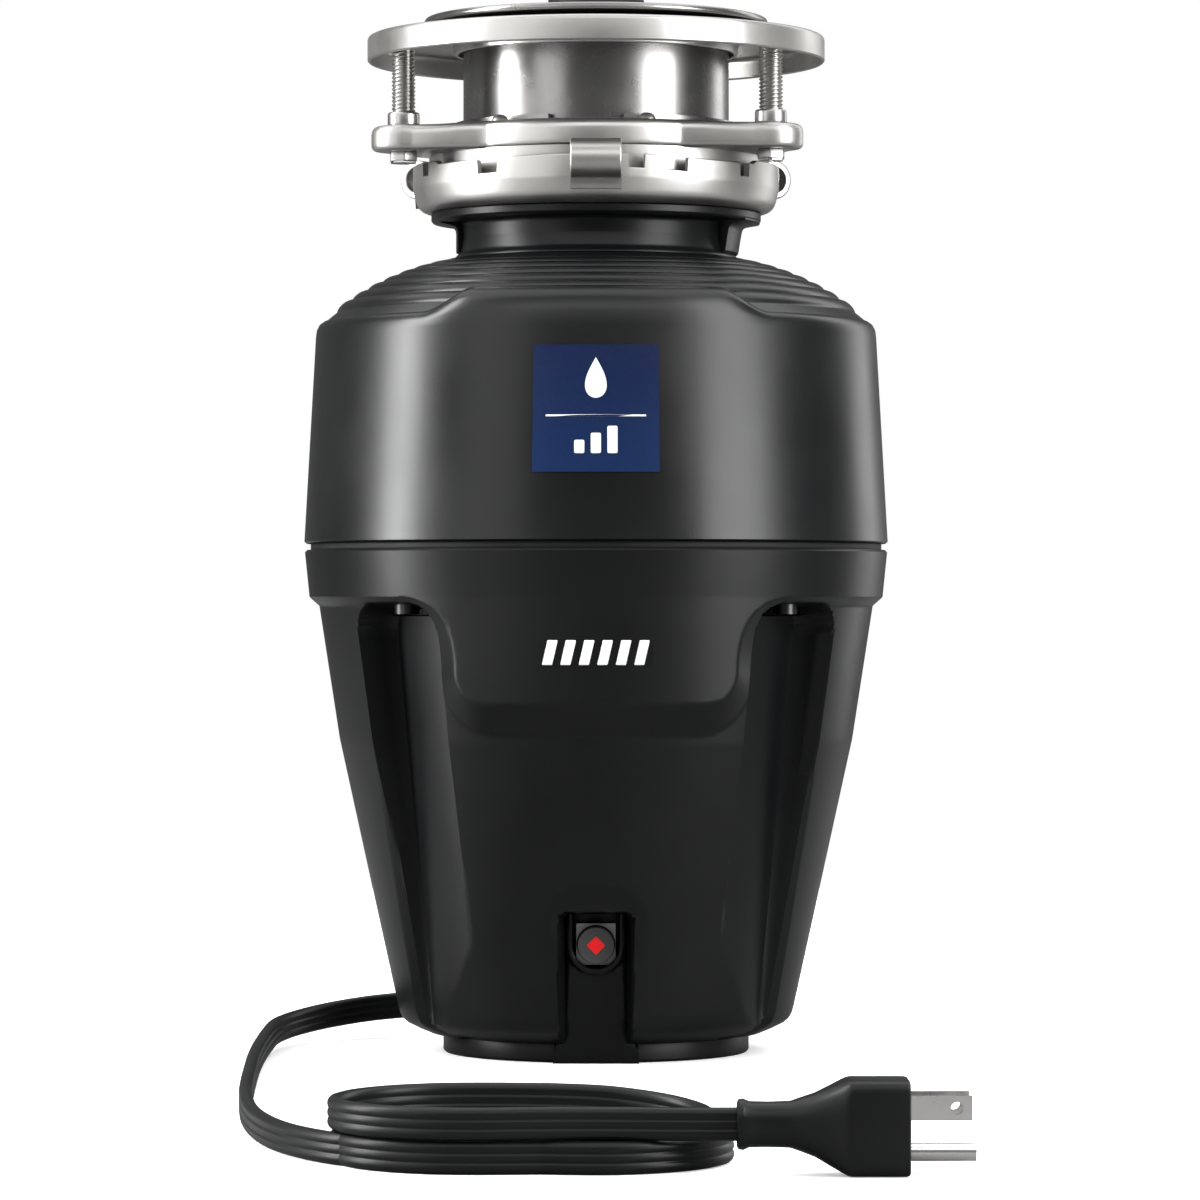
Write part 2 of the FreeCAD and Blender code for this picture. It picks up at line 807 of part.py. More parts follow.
def make_splash_guard():
    disc = rod("splash_disc", "sleeve_bore - 0.3", "splash_thick", z="splash_low")
    cuts = [rod("splash_hole", "splash_hole_radius", "splash_thick + 2", z="splash_low - 1")]
    for turn in (0, 60, 120):
        half, side = "splash_slit_length / 2", "splash_slit_width / 2"
        x = f"0 - {half} * cos({turn}) + {side} * sin({turn})"
        y = f"0 - {half} * sin({turn}) - {side} * cos({turn})"
        cuts.append(box(
            "splash_slit", x, y, "splash_low - 1", "splash_slit_length", "splash_slit_width",
            "splash_thick + 2", turn=turn))
    keep("splash_guard", cut_from("splash", disc, joined("splash_cuts", cuts)))


def make_stopper():
    body = new_body("stopper")
    turned(body, [
        ("0", "stopper_low"),
        ("stopper_radius", "stopper_low"),
        ("stopper_radius", "stopper_low + 3.2"),
        ("14", "stopper_low + 4.2"),
        ("9.5", "stopper_low + 8"),
        ("9.5", "knob_top - 9"),
        ("knob_radius", "knob_top - 5.5"),
        ("knob_radius", "knob_top - 2"),
        ("knob_radius - 2", "knob_top"),
        ("0", "knob_top"),
    ])
    seal = new_body("stopper_seal")
    turned(seal, [
        ("30", "stopper_low - 2.6"),
        ("stopper_radius + 0.2", "stopper_low - 2.6"),
        ("stopper_radius + 0.2", "stopper_low"),
        ("30", "stopper_low"),
    ])


# ---- grinding chamber -----------------------------------------------------------------------


def make_grind_chamber():
    body = new_body("grind_chamber")
    turned(body, [
        ("hopper_bore", "hopper_low"),
        ("hopper_radius", "hopper_low"),
        ("hopper_radius", "hopper_shoulder"),
        ("neck_radius", "hopper_shoulder + 20"),
        ("neck_radius", "neck_top"),
        ("neck_bore", "neck_top"),
        ("neck_bore", "hopper_shoulder + 19"),
        ("hopper_bore", "hopper_shoulder - 1"),
    ])
    drill_back(body, "0", "inlet_height", "inlet_bore", "hopper_radius + 5", size("inlet_turn"))


def make_grind_ring():
    body = new_body("grind_ring")
    turned(body, [
        ("grind_ring_bore", "grind_ring_low"),
        ("grind_ring_radius", "grind_ring_low"),
        ("grind_ring_radius", "hopper_low - 0.2"),
        ("grind_ring_bore", "hopper_low - 0.2"),
    ])
    teeth = 12
    for tooth in range(teeth):
        before = volume(body)
        slot = upright_sketch(body, 360 / teeth * tooth)
        outline(slot, [
            ("grind_ring_bore - 3", "grind_ring_low + 9"),
            ("grind_ring_bore + 2.2", "grind_ring_low + 9"),
            ("grind_ring_bore + 2.2", "grind_ring_low + 24"),
            ("grind_ring_bore - 3", "grind_ring_low + 24"),
        ])
        extruded(body, slot, "7", cut=True, both_ways=True)
        check_change(body, before, -1)


def make_insulation():
    body = new_body("sound_insulation")
    turned(body, [
        ("grind_ring_radius + 0.5", "seam_height + seam_gap + 1"),
        ("screw_circle_radius - 6.8", "seam_height + seam_gap + 1"),
        ("screw_circle_radius - 6.8", "hopper_shoulder - 2"),
        ("grind_ring_radius + 0.5", "hopper_shoulder - 2"),
    ])
    drill_back(body, "0", "inlet_height", "inlet_radius + 0.6", "90", size("inlet_turn"))


def make_inlet():
    turn = 60
    across = (-math.sin(math.radians(turn)), math.cos(math.radians(turn)), 0)
    out_x = "({}) * cos(60)"
    out_y = "({}) * sin(60)"
    start = "hopper_radius + 1.4"
    length = f"inlet_reach - ({start})"

    def along(name, radius, begin, reach):
        x, y = out_x.format(begin), out_y.format(begin)
        return rod(name, radius, reach, x, y, "inlet_height", across, 90)

    tube = along("inlet_tube", "inlet_radius - 0.5", start, length)
    spigot = along("inlet_spigot", "inlet_radius", "inlet_reach - 15", "15")
    bore = along("inlet_passage", "inlet_bore", "hopper_radius - 5", "60")
    keep("dishwasher_inlet", cut_from("inlet", joined("inlet_outside", [tube, spigot]), bore))
    plug = along("inlet_disc", "inlet_bore - 0.2", start, "2")
    keep("inlet_knockout", plug)


def make_drain_housing():
    body = new_body("drain_housing")
    turned(body, [
        ("0", "drain_low"),
        ("drain_radius", "drain_low"),
        ("drain_radius", "drain_top"),
        ("0", "drain_top"),
    ])
    tube = upright_sketch(body)
    circle(tube, "0", "outlet_height", "outlet_radius")
    extruded(body, tube, "outlet_reach", backwards=True)
    turned(body, [
        ("drain_boss_radius", "drain_floor"),
        ("drain_bore", "drain_floor + 2"),
        ("drain_bore", "drain_top + 1"),
        ("0", "drain_top + 1"),
        ("0", "drain_boss_top"),
        ("drain_boss_radius", "drain_boss_top"),
    ], cut=True)
    turned(body, [
        ("0", "drain_low - 1"),
        ("bearing_radius + 0.1", "drain_low - 1"),
        ("bearing_radius + 0.1", "drain_boss_top + 1"),
        ("0", "drain_boss_top + 1"),
    ], cut=True)
    drill_back(body, "0", "outlet_height", "outlet_bore", "outlet_reach + 5")
    turned(body, [
        ("bearing_radius + 0.1", "drain_low"),
        ("drain_boss_radius", "drain_low"),
        ("drain_boss_radius", "drain_boss_top"),
        ("bearing_radius + 0.1", "drain_boss_top"),
    ])


def make_outlet_plate():
    half = "outlet_plate_spacing / 2"
    start = "outlet_reach - 4.2"
    parts = [
        box(
            "plate_bar", f"0 - {half}", start, "outlet_height - plate_end_radius",
            "outlet_plate_spacing", "plate_thick", "2 * plate_end_radius"),
        rod("plate_middle", "outlet_radius + 3.5", "plate_thick", "0", start, "outlet_height", ALONG_Y, 90),
    ]
    for side in (f"0 - {half}", half):
        parts.append(
            rod("plate_end", "plate_end_radius", "plate_thick", side, start, "outlet_height", ALONG_Y, 90))
    holes = [
        rod("plate_hole", radius, "plate_thick + 2", x, f"{start} - 1", "outlet_height", ALONG_Y, 90)
        for x, radius in (
            ("0", "outlet_radius + 0.3"), (f"0 - {half}", "outlet_plate_hole"), (half, "outlet_plate_hole"))
    ]
    keep("outlet_plate", cut_from("plate", joined("plate_blank", parts), joined("plate_holes", holes)))


# ---- motor ----------------------------------------------------------------------------------


def ring_piece(name, inner, outer, low, top, angle="360", turn=0):
    """A plain ring, or a sector of one, in a body of its own."""
    body = new_body(name)
    corners = [(inner, low), (outer, low), (outer, top), (inner, top)]
    turned(body, corners, angle=angle, turn=turn)
    return body


def make_motor():
    bore = "shaft_radius + running_gap"
    ring_piece("upper_bearing", bore, "bearing_radius", "drain_low + 1", "drain_low + 1 + bearing_length")
    ring_piece("water_seal", "shaft_radius + 0.3", "bearing_radius", "drain_boss_top - 8", "drain_boss_top")
    ring_piece("lower_bearing", bore, "bearing_radius", "bell_low", "bell_low + bearing_length")
    ring_piece("lower_end_bell", "bearing_radius + 0.1", "can_radius", "bell_low", "can_low")
    ring_piece("motor_can", "can_radius - can_wall", "can_radius", "can_low", "drain_low")
    halves = []
    for side in (90, -90):
        block = doc.addObject("Part::Cylinder", "magnet_outside")
        bind(block, Radius="can_radius - can_wall - 0.2", Height="core_top - core_low")
        bind(block, Angle="magnet_angle")
        placed(block, z="core_low", turn=side - 90 - size("magnet_angle") / 2)
        inside = rod("magnet_inside", "magnet_bore", "core_top - core_low + 2", z="core_low - 1")
        halves.append(cut_from("magnet", block, inside))
    keep("field_magnets", grouped("magnet_set", halves))
    brushes = [
        box("brush", "commutator_radius + 0.4", "0 - 3", "commutator_low + 0.4", "14", "6", "4.6"),
        box("brush", "0 - commutator_radius - 14.4", "0 - 3", "commutator_low + 0.4", "14", "6", "4.6"),
    ]
    keep("carbon_brushes", grouped("brush_set", brushes))


def make_rotor():
    held = "shaft_radius + running_gap"
    shaft = new_body("rotor_shaft")
    turned(shaft, [
        ("0", "shaft_low"),
        ("shaft_radius", "shaft_low"),
        ("shaft_radius", "turntable_low + turntable_thick"),
        ("shaft_radius - 1.5", "turntable_low + turntable_thick"),
        ("shaft_radius - 1.5", "shaft_top"),
        ("0", "shaft_top"),
    ])
    turntable = ring_piece(
        "turntable", held, "turntable_radius", "turntable_low", "turntable_low + turntable_thick")
    drill_up(turntable, "turntable_low - 1", "turntable_thick + 2", [
        (*around("turntable_radius - 8", 30 + 60 * hole), "2.5") for hole in range(6)
    ])
    nut = doc.addObject("Part::Prism", "nut_outside")
    nut.Polygon = 6
    bind(nut, Circumradius="11", Height="7")
    placed(nut, z="turntable_low + turntable_thick")
    thread = rod("nut_thread", "shaft_radius - 1.4", "9", z="turntable_low + turntable_thick - 1")
    keep("turntable_nut", cut_from("hex_nut", nut, thread))
    core = ring_piece("armature_core", held, "core_radius", "core_low", "core_top")
    slots = 12
    drill_up(core, "core_low - 1", "core_top - core_low + 2", [
        (*around("core_radius - 4", 360 / slots * slot), "2.4") for slot in range(slots)
    ])
    windings = new_body("armature_windings")
    for low, top in (
        ("core_low - winding_length", "core_low"),
        ("core_top", "core_top + winding_length"),
    ):
        corners = [("14", low), ("winding_radius", low), ("winding_radius", top), ("14", top)]
        turned(windings, corners)
    ring_piece(
        "commutator", held, "commutator_radius", "commutator_low",
        "commutator_low + commutator_length")


def make_impellers():
    pins = []
    for name, side in (("front_impeller", "0 - 1"), ("rear_impeller", "1")):
        y = f"{side} * impeller_circle"
        top = "turntable_low + turntable_thick"
        arm = box(f"{name}_arm", "0 - 17", f"{y} - 6", f"{top} + 0.4", "23", "12", "5")
        lump = rod(f"{name}_hub", "8", "11", "0", y, f"{top} + 0.4")
        hole = rod(f"{name}_hole", "impeller_pin_radius + running_gap", "14", "0", y, f"{top} - 1")
        keep(name, cut_from(name + "_cut", joined(name + "_blank", [arm, lump]), hole))
        stem = rod("rivet_stem", "impeller_pin_radius", "12", "0", y, top)
        head = rod("rivet_head", "6", "1.8", "0", y, f"{top} + 11.8")
        pins.append(joined("rivet", [stem, head]))
    keep("impeller_rivets", grouped("rivet_set", pins))


# ---- base -----------------------------------------------------------------------------------


def make_base_cap():
    body = new_body("base_cap")
    turned(body, [
        ("0", "0"),
        ("base_radius", "0"),
        ("base_radius", "base_top - 0.1"),
        ("base_radius - 3", "base_top - 0.1"),
        ("base_radius - 3", "base_plate_top"),
        ("0", "base_plate_top"),
    ])
    sketch = body.newObject("Sketcher::SketchObject", "tongue_sketch")
    sketch.AttachmentSupport = [(origin_plane(body, "YZ_Plane"), "")]
    sketch.MapMode = "FlatFace"
    outline(sketch, [
        ("0 - tongue_foot_face + 8", "1"),
        ("0 - tongue_foot_face", "0"),
        ("0 - tongue_top_face", "tongue_top"),
        ("0 - tongue_top_face + tongue_wall", "tongue_top"),
        ("0 - tongue_foot_face + tongue_wall - 1", "base_top + 5"),
    ])
    extruded(body, sketch, "tongue_width", both_ways=True)
    drill_front(body, "button_height", "button_hole_radius", "80")
    for radius, depth in (("2.1", "base_top + 0.5"), ("3.1", "1.6")):
        drill_up(body, "0 - 0.5", depth, [
            (*around("base_screw_circle", angle), radius) for angle in BASE_SCREW_ANGLES
        ])


def make_base_screws():
    screws = []
    for angle in BASE_SCREW_ANGLES:
        x, y = around("base_screw_circle", angle)
        head = rod("base_screw_head", "2.8", "0.9", x, y, "0.15")
        shank = rod("base_screw_shank", "1.8", "10", x, y, "0.6")
        screws.append(joined("base_screw", [head, shank]))
    keep("base_screws", grouped("base_screw_set", screws))


def make_overload_protector():
    face = "0 - 54.4"
    case = box("protector_case", "0 - 6.3", face, "32", "12.6", "17", "13.2")
    bore = rod(
        "protector_bore", "button_radius + 0.25", "11", "0", f"{face} - 1", "button_height",
        ALONG_Y, 90)
    keep("overload_protector", cut_from("protector", case, bore))
    button = rod(
        "button", "button_radius", "button_face - button_back", "0", "0 - button_face",
        "button_height", ALONG_Y, 90)
    keep("reset_button", button)


def make_terminals():
    plate = box("terminal_block", "0 - 16", "14", "14", "32", "12", "20")
    keep("terminal_block", plate)
    ground = joined("ground", [
        rod("ground_head", "4", "2.4", "26", "16", "11.7"),
        rod("ground_stem", "2", "8", "26", "16", "13"),
    ])
    keep("ground_screw", ground)
    nuts = [
        cone("wire_nut", "5.5", "3", "15", x, "0 - 6", "14") for x in ("0 - 16", "0", "16")
    ]
    keep("wire_nuts", grouped("wire_nut_set", nuts))


# ---- mains lead -----------------------------------------------------------------------------

# The lead's route from the strain relief to the coil, x, y and the height of its middle.
LEAD_ROUTE = [
    (-44.0, 57.0, 12.0),
    (-68.0, 56.3, 11.0),
    (-91.0, 43.5, 8.5),
    (-106.5, 17.0, 6.0),
    (-108.0, -19.0, 4.7),
    (-107.5, -84.0, 4.4),
    (-104.5, -160.0, 4.4),
    (-101.0, -236.0, 4.4),
    (-94.5, -296.0, 4.4),
    (-82.0, -343.0, 4.4),
    (-60.0, -376.0, 4.4),
]
ARC_SHARE = 0.45


def route_wire(points):
    """Straight runs joined by tangent arcs, each as large as its two runs allow."""
    points = [Vector(*point) for point in points]
    edges = []
    radii = []
    at = points[0]
    for before, corner, after in zip(points, points[1:], points[2:]):
        back = (before - corner).normalize()
        ahead = (after - corner).normalize()
        half_turn = (math.pi - back.getAngle(ahead)) / 2
        shorter = min((before - corner).Length, (after - corner).Length)
        reach = ARC_SHARE * shorter
        radius = reach / math.tan(half_turn)
        middle = (back + ahead).normalize()
        to_arc = radius / math.cos(half_turn) - radius
        start = corner + back * reach
        end = corner + ahead * reach
        edges.append(Part.LineSegment(at, start).toShape())
        edges.append(Part.Arc(start, corner + middle * to_arc, end).toShape())
        radii.append(radius)
        at = end
    edges.append(Part.LineSegment(at, points[-1]).toShape())
    return Part.Wire(edges), radii


def make_lead():
    path, radii = route_wire(LEAD_ROUTE)
    half = size("cord_width") / 2
    start = Vector(*LEAD_ROUTE[0])
    ahead = Vector(*LEAD_ROUTE[1]) - start
    section = Part.Wire(Part.makeCircle(half, start, ahead))
    tube = doc.addObject("Part::Feature", "lead_tube")
    tube.Shape = path.makePipeShell([section], True, True)
    tube.Placement = Placement()
    keep("cord_lead", tube)
    expected = math.pi * half ** 2 * path.Length
    print("lead length", round(path.Length, 1), "mm, radii", [round(radius) for radius in radii])
    print("lead volume", round(tube.Shape.Volume), "expected", round(expected))


def slab_of_coil(name, radius, height):
    """Two round ends and the straight runs between them."""
    middle = box(
        name + "_middle", "coil_left", f"coil_setback - {radius}", "0",
        "coil_right - coil_left", f"2 * {radius}", height)
    ends = [rod(name + "_end", radius, height, x, "coil_setback") for x in ("coil_left", "coil_right")]
    return joined(name, [middle] + ends)


def make_coil():
    outside = slab_of_coil("coil_outside", "coil_radius", "2 * cord_width")
    inside = slab_of_coil("coil_inside", "coil_inner_radius", "3 * cord_width")
    keep("cord_coil", cut_from("coil", outside, inside))
    start = "coil_right + tail_setback"
    tail = rod(
        "tail", "cord_width / 2 - 0.1", f"plug_start - ({start})", start, "plug_setback",
        "1.5 * cord_width - 0.2", ALONG_X, 90)
    keep("cord_tail", tail)


def make_strain_relief():
    sleeve = cone(
        "relief_sleeve", "relief_root_radius", "relief_end_radius", "relief_length",
        "0 - relief_start", "relief_setback", "relief_height", (0, -1, 0), 90)
    flange = box(
        "relief_flange", "0 - relief_start", "relief_setback - relief_flange_width / 2",
        "relief_height - relief_flange_width / 2",
        "relief_flange_thick", "relief_flange_width", "relief_flange_width")
    keep("strain_relief", joined("relief", [sleeve, flange]))


def make_plug():
    middle = "plug_height / 2"
    neck = "plug_sleeve_radius"
    sleeve = rod(
        "plug_sleeve", neck, "plug_shoulder_start - plug_start + 1", "plug_start", "plug_setback",
        middle, ALONG_X, 90)
    shoulder = doc.addObject("Part::Wedge", "plug_shoulder")
    # the wedge narrows along its own Y, which is laid along -X here
    bind(
        shoulder,
        Xmin="0 - plug_height / 2", Xmax="plug_height / 2",
        Ymin="0", Ymax="plug_body_start - plug_shoulder_start",
        Zmin="0 - plug_depth / 2", Zmax="plug_depth / 2",
        X2min=f"0 - {neck}", X2max=neck, Z2min=f"0 - {neck}", Z2max=neck)
    laid = Rotation(Vector(0, 0, -1), Vector(-1, 0, 0), Vector(0, 1, 0), "XYZ")
    shoulder.Placement = Placement(Vector(), laid)
    bind(shoulder, **{
        "Placement.Base.x": "plug_body_start",
        "Placement.Base.y": "plug_setback",
        "Placement.Base.z": middle,
    })
    block = box(
        "plug_block", "plug_body_start", "plug_setback - plug_depth / 2", "0",
        "plug_body_end - plug_body_start", "plug_depth", "plug_height")
    keep("plug_body", joined("plug", [sleeve, shoulder, block]))
    blades = []
    for side in ("0 - 1", "1"):
        y = f"plug_setback + {side} * blade_spacing / 2"
        blade = box(
            "blade", "plug_body_end", f"{y} - blade_thick / 2", "blade_low",
            "blade_length", "blade_thick", "blade_width")
        hole = rod(
            "blade_hole", "blade_hole_radius", "2 * blade_thick", "plug_body_end + blade_hole_reach",
            f"{y} - blade_thick", "blade_low + blade_width / 2", ALONG_Y, 90)
        blades.append(cut_from("blade_cut", blade, hole))
    keep("plug_blades", grouped("blade_set", blades))
    pin = rod(
        "earth_pin", "earth_pin_radius", "earth_pin_length", "plug_body_end", "plug_setback",
        "earth_pin_height", ALONG_X, 90)
    keep("plug_earth_pin", pin)


# ---- marks ----------------------------------------------------------------------------------


def curved_plate(name, low, top, inner_low, inner_top, thick, angle, turn=0):
    """A thin plate bent round the casing."""
    body = new_body(name)
    turned(body, [
        (inner_low, low),
        (f"{inner_low} + {thick}", low),
        (f"{inner_top} + {thick}", top),
        (inner_top, top),
    ], angle=angle, turn=plane_turn(turn))


def make_marks():
    rise = "(upper_foot_radius - upper_head_radius) / (upper_head_height - seam_height - seam_gap)"
    casing = "upper_foot_radius - ({} - seam_height - seam_gap) * " + rise
    low, top = "badge_low", "badge_low + badge_height"
    curved_plate(
        "badge", low, top, casing.format(low) + " + 0.02", casing.format(top) + " + 0.02",
        "0.5", "badge_angle")
    low, top = "mark_low", "mark_low + mark_height"
    band = "shield_edge_radius + ({} - shield_edge_height) * "
    band = band + "(band_radius - shield_edge_radius) / (band_height - shield_edge_height)"
    curved_plate(
        "name_bar", low, top, band.format(low) + " + 0.02", band.format(top) + " + 0.02",
        "0.4", "mark_angle")


make_lower_shell()
make_upper_shell()
make_seam_gasket()
make_through_screws()
make_dome_cover()
make_neck_collar()
make_lower_mounting_ring()
make_upper_mounting_ring()
make_jack_screws()
make_snap_ring()
make_mounting_gasket()
make_sink_flange()
make_backup_flange()
make_fibre_gasket()
make_splash_guard()
make_stopper()
make_grind_chamber()
make_grind_ring()
make_insulation()
make_inlet()
make_drain_housing()
make_outlet_plate()
make_motor()
make_rotor()
make_impellers()
make_base_cap()
make_base_screws()
make_overload_protector()
make_terminals()
make_lead()
make_coil()
make_strain_relief()
make_plug()
make_marks()
doc.recompute()

for thing in doc.Objects:
    if "Invalid" in thing.State or "Error" in thing.State:
        raise ValueError(f"{thing.Label} failed: {thing.State}")
for name, piece in pieces.items():
    if piece.Shape.isNull() or not piece.Shape.isValid() or not piece.Shape.Solids:
        raise ValueError(f"{name} has no valid solid")

os.makedirs("parts", exist_ok=True)
for name, piece in pieces.items():
    piece.Shape.exportStep(f"parts/{name}.step")
    print(f"{name}: {len(piece.Shape.Solids)} solid(s), {piece.Shape.Volume / 1000:.2f} cm3")
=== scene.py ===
import json
import math

import bmesh
import bpy
import numpy as np
from mathutils import Matrix, Vector


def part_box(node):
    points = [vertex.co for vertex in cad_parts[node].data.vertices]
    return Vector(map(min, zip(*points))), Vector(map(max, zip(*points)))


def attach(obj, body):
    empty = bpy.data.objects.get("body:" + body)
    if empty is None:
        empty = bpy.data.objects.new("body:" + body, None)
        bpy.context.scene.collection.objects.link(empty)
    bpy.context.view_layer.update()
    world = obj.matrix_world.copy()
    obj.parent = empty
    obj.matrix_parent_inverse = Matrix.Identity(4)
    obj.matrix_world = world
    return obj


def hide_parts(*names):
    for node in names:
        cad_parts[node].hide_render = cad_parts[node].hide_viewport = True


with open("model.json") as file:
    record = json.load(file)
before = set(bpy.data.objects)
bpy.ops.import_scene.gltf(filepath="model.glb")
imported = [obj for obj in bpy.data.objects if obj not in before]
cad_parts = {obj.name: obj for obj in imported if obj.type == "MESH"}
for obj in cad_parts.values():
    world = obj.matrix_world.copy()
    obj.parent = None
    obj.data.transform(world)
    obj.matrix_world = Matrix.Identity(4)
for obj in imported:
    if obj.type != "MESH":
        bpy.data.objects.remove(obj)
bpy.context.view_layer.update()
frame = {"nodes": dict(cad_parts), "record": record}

# Shapes are worked out in millimetres and turned into metres when a mesh is made.
# Angles round the rotor axis are in degrees from the front (-Y), positive towards +X.
MM = 0.001


def cad_box(node):
    """A CAD node's lowest and highest corner, in millimetres."""
    low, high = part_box(node)
    return low / MM, high / MM


# ---- camera ---------------------------------------------------------------------------------

CAMERA_DISTANCE = 1.787
CAMERA_HEIGHT = 0.149
CAMERA_ACROSS = 0.0013
LENS_MM = 162

camera = bpy.data.objects.new("camera", bpy.data.cameras.new("camera"))
bpy.context.scene.collection.objects.link(camera)
camera.data.sensor_width = 36
camera.data.lens = LENS_MM
camera.location = (CAMERA_ACROSS, -CAMERA_DISTANCE, CAMERA_HEIGHT)
camera.rotation_euler = (math.radians(90), 0, 0)
camera.data.clip_end = 50
bpy.context.scene.camera = camera
bpy.context.scene.view_settings.view_transform = "Standard"


# ---- materials ------------------------------------------------------------------------------


class Nodes:
    """A material's node tree, with short calls for the nodes that every finish here uses."""

    def __init__(self, name):
        self.material = bpy.data.materials.new(name)
        self.material.use_nodes = True
        self.tree = self.material.node_tree
        self.shader = self.tree.nodes["Principled BSDF"]
        self.place = self.tree.nodes.new("ShaderNodeTexCoord").outputs["Object"]

    def link(self, out, socket):
        self.tree.links.new(out, socket)

    def stretched(self, scale):
        """The object's coordinates, stretched along its axes."""
        node = self.tree.nodes.new("ShaderNodeMapping")
        node.inputs["Scale"].default_value = scale
        self.link(self.place, node.inputs["Vector"])
        return node.outputs["Vector"]

    def noise(self, scale, detail=4.0, rough=0.6, place=None):
        node = self.tree.nodes.new("ShaderNodeTexNoise")
        node.inputs["Scale"].default_value = scale
        node.inputs["Detail"].default_value = detail
        node.inputs["Roughness"].default_value = rough
        self.link(place or self.place, node.inputs["Vector"])
        return node.outputs["Fac"]

    def between(self, value, low, high, start=0.3, end=0.7):
        """The value from start to end, as a number from low to high."""
        node = self.tree.nodes.new("ShaderNodeMapRange")
        node.inputs["From Min"].default_value = start
        node.inputs["From Max"].default_value = end
        node.inputs["To Min"].default_value = low
        node.inputs["To Max"].default_value = high
        self.link(value, node.inputs["Value"])
        return node.outputs["Result"]

    def mix(self, amount, first, second):
        node = self.tree.nodes.new("ShaderNodeMix")
        node.data_type = "RGBA"
        self.link(amount, node.inputs["Factor"])
        for socket, colour in ((node.inputs[6], first), (node.inputs[7], second)):
            if isinstance(colour, bpy.types.NodeSocket):
                self.link(colour, socket)
            else:
                socket.default_value = (*colour, 1)
        return node.outputs[2]

    def bump(self, height, strength, distance):
        node = self.tree.nodes.new("ShaderNodeBump")
        node.inputs["Strength"].default_value = strength
        node.inputs["Distance"].default_value = distance
        self.link(height, node.inputs["Height"])
        return node.outputs["Normal"]


def moulded_plastic(name, colour, roughness, grain=2600, grain_depth=0.00003, gloss=0.5):
    """Moulded plastic: a fine spark-eroded grain, uneven sheen and faint dusty patches."""
    n = Nodes(name)
    broad = n.noise(14, 3)
    fine = n.noise(grain, 2, 0.7)
    dusty = tuple(c * 1.3 + 0.0006 for c in colour)
    n.link(n.mix(n.between(broad, 0.0, 1.0), colour, dusty), n.shader.inputs["Base Color"])
    n.link(n.between(broad, roughness - 0.04, roughness + 0.05), n.shader.inputs["Roughness"])
    n.link(n.bump(fine, 0.35, grain_depth), n.shader.inputs["Normal"])
    n.shader.inputs["Specular IOR Level"].default_value = gloss
    return n.material


def metal(name, colour, roughness, along=(1, 1, 1), scratch=0.00001, dirt=0.10):
    """Plated or brushed metal, with fine lines along one axis and faint handling marks."""
    n = Nodes(name)
    lines = n.noise(900, 3, 0.7, n.stretched(along))
    marks = n.noise(45, 5, 0.6)
    dull = tuple(c * (1 - dirt) for c in colour)
    n.link(n.mix(n.between(marks, 0.0, 1.0), colour, dull), n.shader.inputs["Base Color"])
    n.link(n.between(marks, roughness - 0.05, roughness + 0.08), n.shader.inputs["Roughness"])
    n.link(n.bump(lines, 0.4, scratch), n.shader.inputs["Normal"])
    n.shader.inputs["Metallic"].default_value = 1.0
    return n.material


def rubber(name, colour, roughness):
    """Rubber, fibre or foam: dull, with a pale bloom and a fine grit."""
    n = Nodes(name)
    bloom = n.noise(60, 5)
    grit = n.noise(1500, 2)
    pale = tuple(c * 1.8 + 0.001 for c in colour)
    n.link(n.mix(n.between(bloom, 0.0, 1.0), colour, pale), n.shader.inputs["Base Color"])
    n.link(n.between(bloom, roughness - 0.08, roughness + 0.06), n.shader.inputs["Roughness"])
    n.link(n.bump(grit, 0.4, 0.00004), n.shader.inputs["Normal"])
    n.shader.inputs["Specular IOR Level"].default_value = 0.2
    return n.material


BLACK = (0.0024, 0.0026, 0.0029)

MATERIALS = {
    "satin_black_plastic": moulded_plastic("satin_black_plastic", BLACK, 0.30, gloss=0.32),
    "matte_black_plastic": moulded_plastic("matte_black_plastic", BLACK, 0.35, gloss=0.19),
    "cast_alloy": metal("cast_alloy", (0.41, 0.405, 0.39), 0.37, scratch=0.00002),
    "polished_steel": metal("polished_steel", (0.27, 0.265, 0.26), 0.25, (1, 1, 0.05)),
    "zinc_plate": metal("zinc_plate", (0.40, 0.395, 0.38), 0.3),
    "stainless": metal("stainless", (0.6, 0.6, 0.58), 0.28, (1, 1, 0.1)),
    "bearing_steel": metal("bearing_steel", (0.42, 0.42, 0.42), 0.32),
    "dark_screw_steel": metal("dark_screw_steel", (0.045, 0.045, 0.047), 0.35),
    "bronze": metal("bronze", (0.55, 0.36, 0.18), 0.35),
    "copper": metal("copper", (0.7, 0.3, 0.16), 0.3, (1, 1, 6)),
    "ferrite": rubber("ferrite", (0.05, 0.05, 0.05), 0.7),
    "black_rubber": rubber("black_rubber", (0.006, 0.006, 0.006), 0.6),
    "fibre": rubber("fibre", (0.035, 0.03, 0.026), 0.75),
    "foam": rubber("foam", (0.08, 0.08, 0.08), 0.9),
    "grey_plastic": moulded_plastic("grey_plastic", (0.11, 0.11, 0.115), 0.45),
    "button_plastic": moulded_plastic("button_plastic", (0.035, 0.034, 0.034), 0.4),
    "cord_vinyl": moulded_plastic("cord_vinyl", (0.0035, 0.0042, 0.0038), 0.4, 1400, 0.00004, 0.2),
    "plated_brass": metal("plated_brass", (0.72, 0.71, 0.69), 0.25, (0.1, 1, 1)),
}


